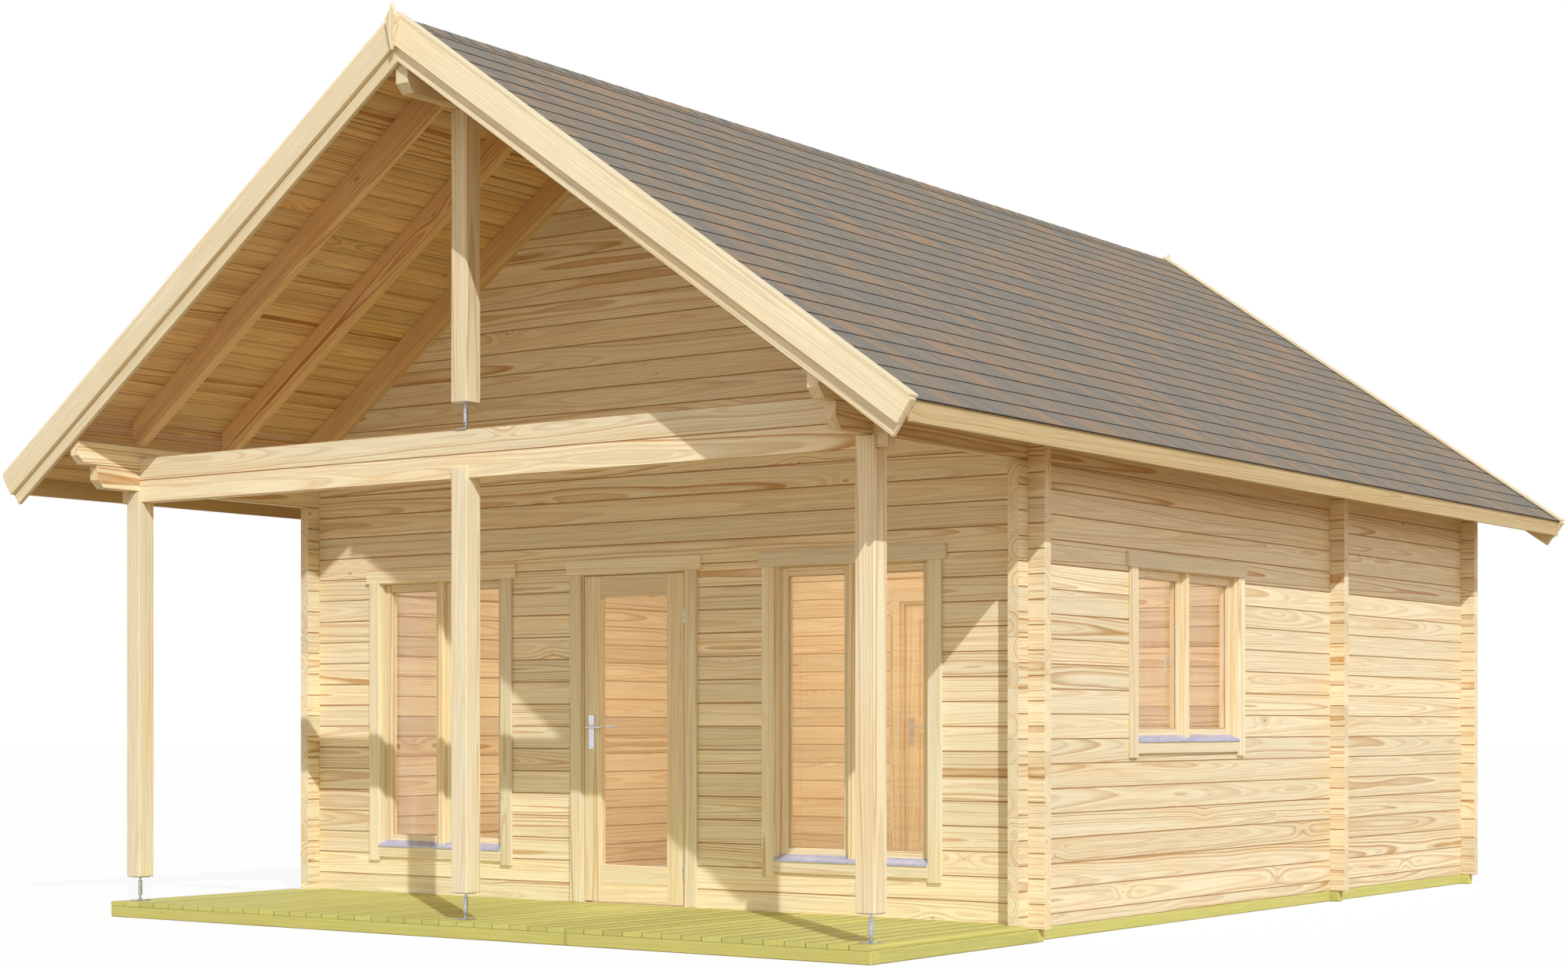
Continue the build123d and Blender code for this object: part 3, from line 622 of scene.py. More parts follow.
# The fascias' darker pine is painted shade: it stands in for the weak grazing sun that a board square to
# the roof slope gets, though these fascias stand plumb.
FASCIA_PINE_PAINTED_SHADE = PineFinish(
    "fascia_pine_painted_shade", "planed_pine", (0.66, 0.515, 0.275), (0.46, 0.28, 0.105), (1.0, 0.90, 0.70),
    knot=(0.38, 0.18, 0.06), ring_pitch=0.016, knot_share=0.3, ring_strength=1.1, pith_depth=0.05,
    wander=0.06,
)
JOINERY_PINE = PineFinish(
    "joinery_pine_grown", "joinery_pine", (0.89, 0.775, 0.53), (0.61, 0.37, 0.145), (1.0, 0.90, 0.70),
    knot=(0.45, 0.23, 0.09), ring_pitch=0.0135, knot_share=0.12, ring_strength=1.0, roughness=0.5,
)
TREATED_PINE = PineFinish(
    "treated_pine_grown", "treated_pine", (0.62, 0.60, 0.190), (0.45, 0.435, 0.100), (0.92, 1.0, 0.80),
    knot=(0.16, 0.13, 0.03), ring_pitch=0.012, knot_share=0.12, ring_strength=0.6, joint=(0.13, 0.12, 0.03),
    roughness=0.65,
)


@dataclass(frozen=True)
class Drift:
    """Slanting streaks in which granules of one colour gather."""

    run_rate: float
    course_rate: float
    layer: float
    rise: Limits


@dataclass(frozen=True)
class ShingleFinish(Finish):
    """Mineral granules in grey, brown and slate drifts, with a dark band at each tab's lower edge: the dark
    cut edge widened with painted shade.
    """

    name: str = "shingle_granules"
    slot: str = "shingle"
    grey: Colour = (0.252, 0.213, 0.167)
    brown: Colour = (0.325, 0.228, 0.155)
    slate: Colour = (0.214, 0.198, 0.174)
    brown_drift: Drift = Drift(4.6, 0.40, 0.0, (0.515, 0.555))
    slate_drift: Drift = Drift(5.7, 0.47, 7.0, (0.52, 0.56))
    slant: float = 0.85
    grit_rate: float = 320.0
    grit_rise: Limits = (0.25, 0.75)
    grit_shade: Limits = (0.62, 1.38)
    # Near-black band at each tab's lower edge: the cut edge's own dark colour, carried up the face as a
    # painted shade line along each course.
    edge: Colour = (0.035, 0.032, 0.03)
    edge_shade_height: float = 0.0075
    edge_shade_share: float = 0.6
    roughness: float = 0.9
    specular: float = 0.25
    bump: float = 0.35
    bump_distance: float = 0.002

    def wire(self, net: Wiring, shader: Node) -> None:
        """Drift the granules' colours over the courses and darken a band at each tab's lower edge, partly
        the dark cut edge and partly painted shade.

        Args:
            net: Wiring of the tree that is being built.
            shader: Principled shader of the material.
        """
        _, down, _ = net.split(net.attribute("grain")["Vector"])
        run, slope, course = net.split(net.attribute("laid")["Vector"])
        diagonal = net.times_plus(slope, self.slant, run)
        colour = self.grey
        for drift, tint in ((self.brown_drift, self.brown), (self.slate_drift, self.slate)):
            run_part = net.times(diagonal, drift.run_rate)
            at = net.combine(run_part, net.times(course, drift.course_rate), drift.layer)
            colour = net.mix(net.ramp(net.noise(at).outputs["Fac"], drift.rise), colour, tint)
        grit = net.speckle(self.grit_rate)
        colour = net.shade(colour, net.ramp(grit, self.grit_rise, self.grit_shade))
        # Painted shade line: the lowest few millimetres of each tab darken towards the butt.
        edge_shade = net.ramp(down, (-self.edge_shade_height, -self.edge_shade_height * self.edge_shade_share))
        net.fill(shader, {
            "Base Color": net.mix(edge_shade, colour, self.edge),
            "Roughness": self.roughness,
            "Specular IOR Level": self.specular,
            "Normal": net.bump(self.bump, self.bump_distance, grit),
        })


SHINGLE = ShingleFinish()


@dataclass(frozen=True)
class MetalFinish(Finish):
    """Bare or coated metal with a soft cloudy sheen."""

    name: str
    slot: str
    bright: Colour
    dull: Colour
    roughness: float
    cloud_scale: float
    metallic: float = 1.0
    cloud_detail: float = 3.0
    cloud_rise: Limits = (0.35, 0.65)
    roughness_spread: float = 0.2
    bump: float = 0.05
    bump_distance: float = 0.001

    def wire(self, net: Wiring, shader: Node) -> None:
        """Cloud the metal's colour, roughness and surface.

        Args:
            net: Wiring of the tree that is being built.
            shader: Principled shader of the material.
        """
        cloud = net.speckle(self.cloud_scale, self.cloud_detail)
        spread = self.roughness_spread
        net.fill(shader, {
            "Base Color": net.mix(net.ramp(cloud, self.cloud_rise), self.bright, self.dull),
            "Roughness": net.times_plus(cloud, spread, self.roughness - spread / 2),
            "Metallic": self.metallic,
            "Normal": net.bump(self.bump, self.bump_distance, cloud),
        })


GALVANISED = MetalFinish(
    "galvanised_zinc", "galvanised_steel", (0.60, 0.61, 0.63), (0.42, 0.43, 0.46), 0.33, 60.0,
)
ALUMINIUM = MetalFinish(
    "satin_aluminium_brushed", "satin_aluminium", (0.80, 0.82, 0.90), (0.70, 0.73, 0.83), 0.36, 25.0, 0.85,
)
RAIL_ALUMINIUM = MetalFinish(
    "rail_aluminium_coated", "satin_aluminium", (0.53, 0.54, 0.72), (0.45, 0.465, 0.66), 0.5, 18.0, 0.2,
)


@dataclass(frozen=True)
class GlassFinish(Finish):
    """Clear sealed pane with a slight warm tint, which lets sunlight through."""

    name: str = "window_glass"
    slot: str = "glass"
    tint: Colour = (1.0, 0.955, 0.925)
    clear_tint: Colour = (0.97, 0.95, 0.935)
    clear_share: float = 0.82
    haze_rate: float = 3.0
    haze: float = 0.015
    ior: float = 1.45
    specular: float = 0.35

    def wire(self, net: Wiring, shader: Node) -> None:
        """Mix the glass with a clear shader, which alone meets the light on its way in.

        Args:
            net: Wiring of the tree that is being built.
            shader: Principled shader of the material.
        """
        net.fill(shader, {
            "Base Color": rgba(self.tint),
            "Roughness": net.times(net.speckle(self.haze_rate), self.haze),
            "Transmission Weight": 1.0,
            "IOR": self.ior,
            "Specular IOR Level": self.specular,
        })
        shadow = net.add("ShaderNodeLightPath").outputs["Is Shadow Ray"]
        clear = net.add("ShaderNodeBsdfTransparent", None, {"Color": rgba(self.clear_tint)})
        share = net.math("MAXIMUM", shadow, self.clear_share)
        net.fill(net.tree.nodes["Material Output"], {"Surface": net.blend(share, shader, clear)})


GLASS = GlassFinish()


@dataclass(frozen=True)
class RubberFinish(Finish):
    """Dark rubber of the glazing gaskets."""

    name: str = "dark_gasket"
    slot: str = "shingle"
    colour: Colour = (0.03, 0.03, 0.032)
    lighter: float = 1.7
    speck_rate: float = 90.0
    roughness: float = 0.55

    def wire(self, net: Wiring, shader: Node) -> None:
        """Speckle the rubber.

        Args:
            net: Wiring of the tree that is being built.
            shader: Principled shader of the material.
        """
        lighter = tuple(part * self.lighter for part in self.colour)
        colour = net.mix(net.speckle(self.speck_rate), self.colour, lighter)
        net.fill(shader, {"Base Color": colour, "Roughness": self.roughness})


GASKET = RubberFinish()


def link_piece(name: str, mesh: Mesh) -> bpy.types.Object:
    """Object at the origin for a finished mesh.

    Args:
        name: Name of the piece.
        mesh: Its mesh.

    Returns:
        The new object.
    """
    piece = bpy.data.objects.new(name, mesh)
    bpy.context.scene.collection.objects.link(piece)
    return piece


def settle(piece: bpy.types.Object, finish: Finish, body: str, *nodes: str) -> None:
    """Give a piece its finish and body, and hide the nodes that it stands for.

    Args:
        piece: The finished object.
        finish: Finish with a material and a slot.
        body: Body that the piece moves with.
        nodes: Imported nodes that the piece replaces.
    """
    if not piece.data.materials:
        piece.data.materials.append(finish.material())
    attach(piece, body)
    if nodes:
        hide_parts(*nodes)
    LOG.info("%s: %d faces on %s", piece.name, len(piece.data.polygons), body)


def islands(bm: BMesh) -> list[list[int]]:
    """Vertex numbers of each loose part of a mesh.

    Args:
        bm: Mesh that is searched.

    Returns:
        A list of vertex numbers for each part.
    """
    bm.verts.index_update()
    seen = [False] * len(bm.verts)
    parts = []
    for start in bm.verts:
        if seen[start.index]:
            continue
        seen[start.index] = True
        stack = [start]
        part = []
        while stack:
            vert = stack.pop()
            part.append(vert.index)
            for edge in vert.link_edges:
                other = edge.other_vert(vert)
                if not seen[other.index]:
                    seen[other.index] = True
                    stack.append(other)
        parts.append(part)
    return parts


class Grain(Enum):
    """Way the grain runs in the pieces of a node."""

    LENGTHWISE = "along the longest side"
    SLOPE = "down the roof slope"


def slope_ways(side: float) -> tuple[np.ndarray, np.ndarray]:
    """Ways down a roof slope and square to it; side is one on the right and minus one on the left."""
    rise, run = math.sin(ROOF_ANGLE), math.cos(ROOF_ANGLE)
    return np.array([side * run, 0.0, -rise]), np.array([side * rise, 0.0, run])


def grain_axes(points: np.ndarray, grain: Grain) -> np.ndarray:
    """Axes of one board.

    Args:
        points: The board's vertices.
        grain: Way that the grain runs.

    Returns:
        Rows along the grain, across the face and through the thickness.
    """
    low, high = points.min(axis=0), points.max(axis=0)
    unit = np.eye(3)
    if grain is Grain.SLOPE:
        along, lift = slope_ways(1.0 if low[0] + high[0] >= 0 else -1.0)
        candidates = [unit[1], lift]
    else:
        longest = int(np.argmax(high - low))
        along = unit[longest]
        candidates = [unit[axis] for axis in range(3) if axis != longest]
    spans = [np.ptp(points @ axis) for axis in candidates]
    across, through = candidates if spans[0] >= spans[1] else candidates[::-1]
    return np.array([along, across, through])


def is_joint(normal: np.ndarray, axes: np.ndarray) -> bool:
    """Whether a face slants along its board, as the joints between courses do.

    Args:
        normal: Normal of the face.
        axes: Axes of the board's grain.

    Returns:
        True for a slanting face.
    """
    along, _, through = np.abs(axes @ normal)
    most_along, least_through, most_through = 0.3, 0.1, 0.97
    return along < most_along and least_through < through < most_through


def mark_grain(bm: BMesh, grain: Grain, seed: int, grooved: bool = False) -> Mesh:
    """Turn a bmesh into a mesh in which every board has its own grain frame and tone.

    Args:
        bm: The boards, each a loose part; it is freed.
        grain: Way that the grain runs.
        seed: Number that fixes the boards' random tones.
        grooved: Whether faces that slant along the boards are joints between courses.

    Returns:
        Mesh with grain and tone on its points, and groove on its faces.
    """
    parts = islands(bm)
    mesh = bpy.data.meshes.new("timber")
    bm.to_mesh(mesh)
    bm.free()
    flat = np.empty(len(mesh.vertices) * 3, dtype=np.float32)
    mesh.vertices.foreach_get("co", flat)
    points = flat.reshape(-1, 3).astype(float)
    local = np.zeros_like(points)
    tone = np.zeros(len(points))
    owner = np.zeros(len(points), dtype=int)
    axes = []
    chance = np.random.default_rng(seed)
    for number, part in enumerate(parts):
        own = points[part]
        middle = (own.min(axis=0) + own.max(axis=0)) / 2
        axes.append(grain_axes(own, grain))
        local[part] = (own - middle) @ axes[-1].T
        tone[part] = chance.random()
        owner[part] = number
    # Slanting joint faces carry the mask of the painted shade that the finishes lay in the gaps between
    # courses.
    groove_shade = np.zeros(len(mesh.polygons))
    if grooved:
        for face in mesh.polygons:
            groove_shade[face.index] = is_joint(np.array(face.normal), axes[owner[face.vertices[0]]])
    frame = mesh.attributes.new("grain", "FLOAT_VECTOR", "POINT")
    frame.data.foreach_set("vector", local.ravel().astype(np.float32))
    for name, values, domain in (("tone", tone, "POINT"), ("groove_shade", groove_shade, "FACE")):
        mesh.attributes.new(name, "FLOAT", domain).data.foreach_set("value", values.astype(np.float32))
    return mesh


def soften(bm: BMesh, width: float, least_angle: float = 50.0) -> None:
    """Bevel the outer edges that turn by more than an angle in degrees.

    Args:
        bm: Mesh that is changed.
        width: Width of the bevel in metres.
        least_angle: Least angle between two faces in degrees.
    """
    limit = math.radians(least_angle)
    sharp = [edge for edge in bm.edges if edge.is_convex and edge.calc_face_angle(0.0) > limit]
    bmesh.ops.bevel(
        bm, geom=sharp, offset=width, segments=1, profile=0.5, affect="EDGES", clamp_overlap=True,
    )


def softened_copy(frame: dict, node: str, edge: float) -> BMesh:
    """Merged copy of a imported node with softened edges.

    Args:
        node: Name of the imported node.
        edge: Width of the bevel in metres.

    Returns:
        The copy, free to change.
    """
    bm = bmesh.new()
    bm.from_mesh(frame["nodes"][node].data)
    bmesh.ops.remove_doubles(bm, verts=bm.verts, dist=MERGE_DISTANCE)
    bmesh.ops.dissolve_limit(bm, angle_limit=FLAT_ANGLE, verts=bm.verts, edges=bm.edges)
    soften(bm, edge)
    return bm


def smooth_mesh(name: str, bm: BMesh, least_angle: float = 32.0) -> Mesh:
    """Mesh from a bmesh, which is freed, smooth where it turns by less than an angle in degrees.

    Args:
        name: Name of the mesh.
        bm: Source, freed here.
        least_angle: Angle in degrees from which an edge stays sharp.

    Returns:
        The new mesh.
    """
    mesh = bpy.data.meshes.new(name)
    bm.to_mesh(mesh)
    bm.free()
    mesh.shade_smooth()
    mesh.set_sharp_from_angle(angle=math.radians(least_angle))
    return mesh


@dataclass
class Timber:
    """Copy of a timber node in which each log or board has its own grain."""

    node: str
    finish: PineFinish
    grain: Grain = Grain.LENGTHWISE
    edge: float = 0.002
    grooved: bool = False

    def build(self, frame: dict, seed: int) -> None:
        """Merge, soften and mark the node's boards.

        Args:
            seed: Number that fixes the random tones.
        """
        bm = softened_copy(frame, self.node, self.edge)
        piece = link_piece(f"{self.node}_timber", mark_grain(bm, self.grain, seed, self.grooved))
        settle(piece, self.finish, HOUSE, self.node)


@dataclass
class Fitting:
    """Copy of a metal node whose edges are rounded."""

    node: str
    finish: MetalFinish
    body: str = HOUSE
    edge: float = 0.0012

    def build(self, frame: dict) -> None:
        mesh = smooth_mesh(self.node, softened_copy(frame, self.node, self.edge))
        settle(link_piece(f"{self.node}_rounded", mesh), self.finish, self.body, self.node)


@dataclass
class BoardSet:
    """Boards given by their limits, joined in one piece with softened edges."""

    name: str
    finish: Finish
    body: str = HOUSE
    edge: float = 0.002
    seed: int = 0
    boards: list = field(default_factory=list)

    def add(self, x: Limits, y: Limits, z: Limits) -> None:
        """Add a board between pairs of limits along each axis."""
        self.boards.append((x, y, z))

    def build(self, *nodes: str) -> None:
        """Make the boards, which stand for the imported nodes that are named."""
        bm = bmesh.new()
        for limits in self.boards:
            size = [high - low for low, high in limits]
            middle = [(low + high) / 2 for low, high in limits]
            place = Matrix.Translation(middle) @ Matrix.Diagonal((*size, 1.0))
            bmesh.ops.create_cube(bm, size=1.0, matrix=place)
        soften(bm, self.edge)
        piece = link_piece(self.name, mark_grain(bm, Grain.LENGTHWISE, self.seed))
        settle(piece, self.finish, self.body, *nodes)


def run_tree(name: str, tree: Tree, finish: Finish, values: dict[str, Any]) -> Mesh:
    """Evaluate a geometry tree once.

    Args:
        name: Name of the mesh.
        tree: Geometry node group with named inputs.
        finish: Finish whose material the tree sets.
        values: Value of each other input by name.

    Returns:
        The plain mesh that the tree made.
    """
    given = {**values, "Material": finish.material()}
    holder = link_piece(f"{name}_holder", bpy.data.meshes.new(f"{name}_start"))
    modifier = holder.modifiers.new("laying", "NODES")
    modifier.node_group = tree
    for item in tree.interface.items_tree:
        if item.item_type == "SOCKET" and item.in_out == "INPUT" and item.name in given:
            modifier[item.identifier] = given[item.name]
    graph = bpy.context.evaluated_depsgraph_get()
    mesh = bpy.data.meshes.new_from_object(holder.evaluated_get(graph))
    mesh.name = name
    holder.modifiers.remove(modifier)
    bpy.data.objects.remove(holder)
    return mesh


def join_meshes(name: str, meshes: Iterable[Mesh]) -> Mesh:
    """One mesh of several that share their material.

    Args:
        name: Name of the joined mesh.
        meshes: Meshes in one frame.

    Returns:
        The joined mesh, with the first material slot of the last one.
    """
    bm = bmesh.new()
    material = None
    for mesh in meshes:
        bm.from_mesh(mesh)
        material = mesh.materials[0] if mesh.materials else material
    joined = bpy.data.meshes.new(name)
    bm.to_mesh(joined)
    bm.free()
    joined.materials.append(material)
    return joined


def board_tree() -> Tree:
    """Geometry group that lays boards side by side: length along Y, spread along X, thickness along Z.

    Returns:
        The group, built once.
    """
    found = bpy.data.node_groups.get("laid_boards")
    if found:
        return found
    inputs = {
        "Count": (COUNT, 10),
        "Pitch": (NUMBER, 0.1),
        "Gap": (NUMBER, 0.004),
        "Length": (NUMBER, 1.0),
        "Thickness": (NUMBER, 0.02),
        "Edge": (NUMBER, 0.003),
        "Seed": (COUNT, 1),
    }
    net = new_geometry("laid_boards", inputs)
    source = net.source()
    width = net.minus(source["Pitch"], source["Gap"])
    outline = net.geometry("CurvePrimitiveQuadrilateral", {"Width": width, "Height": source["Thickness"]})
    corners = {0: outline, "Count": 1, "Radius": source["Edge"]}
    rounded = net.geometry("FilletCurve", corners, {"mode": "POLY"})
    run = net.geometry("CurvePrimitiveLine", {"End": net.combine(0.0, source["Length"], 0.0)})
    board = net.geometry("CurveToMesh", {"Curve": run, "Profile Curve": rounded, "Fill Caps": True})
    x, y, z = net.split(net.geometry("InputPosition"))
    board = net.store(board, "grain", net.combine(y, x, z), "FLOAT_VECTOR", "POINT")
    # Faces that are neither level nor board ends are the boards' sides, which take the painted shade of the
    # gaps between boards.
    _, endways, upright = net.split(net.geometry("InputNormal"))
    level = net.math("GREATER_THAN", net.math("ABSOLUTE", upright), LEVEL_NORMAL)
    ended = net.math("GREATER_THAN", net.math("ABSOLUTE", endways), END_NORMAL)
    groove_shade = net.minus(1.0, net.math("MAXIMUM", level, ended))
    board = net.store(board, "groove_shade", groove_shade, "FLOAT", "FACE")
    offset = net.combine(source["Pitch"], 0.0, 0.0)
    line = net.geometry("MeshLine", {"Count": source["Count"], "Offset": offset})
    laid = net.geometry("InstanceOnPoints", {"Points": line, "Instance": board})
    tone = net.add("FunctionNodeRandomValue", {"data_type": "FLOAT"}, {"Seed": source["Seed"]}).outputs[1]
    return net.finish_geometry(net.store(laid, "tone", tone, "FLOAT", "INSTANCE"))


def shingle_tree() -> Tree:
    """Geometry group that lays shingle tabs: along X, down the slope along Y, raised along Z.

    Returns:
        The group, built once.
    """
    found = bpy.data.node_groups.get("laid_shingles")
    if found:
        return found
    inputs = {
        "Courses": (COUNT, 28),
        "Exposure": (NUMBER, 0.145),
        "Tabs": (COUNT, 30),
        "Tab Width": (NUMBER, 0.333),
        "Gap": (NUMBER, 0.004),
        "Lap": (NUMBER, 0.03),
        "Thickness": (NUMBER, 0.004),
        "First Edge": (NUMBER, 0.145),
        "Length": (NUMBER, 9.0),
        "Ridge": (NUMBER, 0.0),
    }
    net = new_geometry("laid_shingles", inputs)
    source = net.source()
    tall = net.plus(source["Exposure"], source["Lap"])
    size = net.combine(net.minus(source["Tab Width"], source["Gap"]), tall, source["Thickness"])
    half_up = net.combine(0.0, net.times(tall, -0.5), net.times(source["Thickness"], 0.5))
    tab = net.geometry("MeshCube", {"Size": size})
    tab = net.geometry("Transform", {0: tab, "Translation": half_up})
    tab = net.store(tab, "grain", net.geometry("InputPosition"), "FLOAT_VECTOR", "POINT")
    tilt = net.math("ARCTANGENT", net.over(source["Thickness"], tall))
    tilted = net.combine(tilt, 0.0, 0.0)
    raised = net.combine(0.0, 0.0, source["Thickness"])
    tab = net.geometry("Transform", {0: tab, "Rotation": tilted, "Translation": raised})
    index = net.geometry("InputIndex")
    course = net.math("FLOOR", net.over(net.plus(index, 0.5), source["Tabs"]))
    place = net.minus(index, net.times(course, source["Tabs"]))
    stagger = net.times(net.math("MODULO", course, 2.0), 0.5)
    along = net.times(net.plus(place, stagger), source["Tab Width"])
    down = net.times_plus(course, source["Exposure"], source["First Edge"])
    total = net.times(source["Courses"], source["Tabs"])
    points = net.geometry("Points", {"Count": total, "Position": net.combine(along, down, 0.0)})
    points = net.store(points, "course", course, "FLOAT", "POINT")
    laid = net.geometry("InstanceOnPoints", {"Points": points, "Instance": tab})
    real = net.geometry("RealizeInstances", {0: laid})
    x, y, z = net.split(net.geometry("InputPosition"))
    within = net.math("MINIMUM", net.math("MAXIMUM", x, 0.0), source["Length"])
    below = net.math("MAXIMUM", y, source["Ridge"])
    real = net.geometry("SetPosition", {0: real, "Position": net.combine(within, below, z)})
    number = net.geometry("InputNamedAttribute", {"Name": "course"}, {"data_type": "FLOAT"})
    real = net.store(real, "laid", net.combine(x, y, number), "FLOAT_VECTOR", "POINT")
    return net.finish_geometry(real)


def ridge_tree(lap: float, layer: float = 3.0) -> Tree:
    """Geometry group that lays folded caps one behind another along Y, with the fold on top.

    Args:
        lap: Share of its pitch by which a cap runs under the next one.
        layer: Course number that the caps' colours drift with.

    Returns:
        The group.
    """
    inputs = {
        "Count": (COUNT, 40),
        "Pitch": (NUMBER, 0.17),
        "Width": (NUMBER, 0.1),
        "Thickness": (NUMBER, 0.003),
    }
    net = new_geometry("ridge_caps", inputs)
    source = net.source()
    tall = net.times(source["Pitch"], 1.0 + lap)
    plate = net.geometry("MeshCube", {"Size": net.combine(source["Width"], tall, source["Thickness"])})
    joined = net.add("GeometryNodeJoinGeometry")
    for side in (1, -1):
        out = net.times(source["Width"], side * math.cos(ROOF_ANGLE) / 2)
        down = net.times(source["Width"], -math.sin(ROOF_ANGLE) / 2)
        turned = {"Translation": net.combine(out, 0.0, down), "Rotation": (0.0, side * ROOF_ANGLE, 0.0)}
        net.feed(joined.inputs[0], net.geometry("Transform", {0: plate, **turned}))
    x, y, z = net.split(net.geometry("InputPosition"))
    edge = net.times_plus(tall, -0.5, net.times(y, -1.0))
    cap = net.store(joined.outputs[0], "grain", net.combine(x, edge, z), "FLOAT_VECTOR", "POINT")
    tilt = net.times(net.math("ARCTANGENT", net.over(source["Thickness"], tall)), -1.0)
    cap = net.geometry("Transform", {0: cap, "Rotation": net.combine(tilt, 0.0, 0.0)})
    offset = net.combine(0.0, source["Pitch"], 0.0)
    line = net.geometry("MeshLine", {"Count": source["Count"], "Offset": offset})
    laid = net.geometry("InstanceOnPoints", {"Points": line, "Instance": cap})
    real = net.geometry("RealizeInstances", {0: laid})
    _, y, z = net.split(net.geometry("InputPosition"))
    real = net.store(real, "laid", net.combine(y, z, layer), "FLOAT_VECTOR", "POINT")
    return net.finish_geometry(real)


def screw_tree() -> Tree:
    """Geometry group that sets pairs of screw heads in boards: boards along X, rows along Y.

    Returns:
        The group, built once.
    """
    inputs = {
        "Boards": (COUNT, 10),
        "Rows": (COUNT, 3),
        "Pitch": (NUMBER, 0.13),
        "Row Gap": (NUMBER, 0.5),
        "Spread": (NUMBER, 0.07),
        "Radius": (NUMBER, 0.0038),
        "Height": (NUMBER, 0.0012),
    }
    net = new_geometry("board_screws", inputs)
    source = net.source()
    size = {"Vertices": 10, "Radius": source["Radius"], "Depth": source["Height"]}
    head = net.geometry("MeshCylinder", size)
    index = net.geometry("InputIndex")
    pair = net.math("FLOOR", net.over(net.plus(index, 0.25), 2.0))
    right = net.minus(index, net.times(pair, 2.0))
    board = net.math("FLOOR", net.over(net.plus(pair, 0.25), source["Rows"]))
    row = net.minus(pair, net.times(board, source["Rows"]))
    shift = net.times(net.minus(right, 0.5), source["Spread"])
    along = net.times_plus(board, source["Pitch"], shift)
    place = net.combine(along, net.times(row, source["Row Gap"]), 0.0)
    total = net.times(net.times(source["Boards"], source["Rows"]), 2.0)
    points = net.geometry("Points", {"Count": total, "Position": place})
    return net.finish_geometry(net.geometry("InstanceOnPoints", {"Points": points, "Instance": head}))


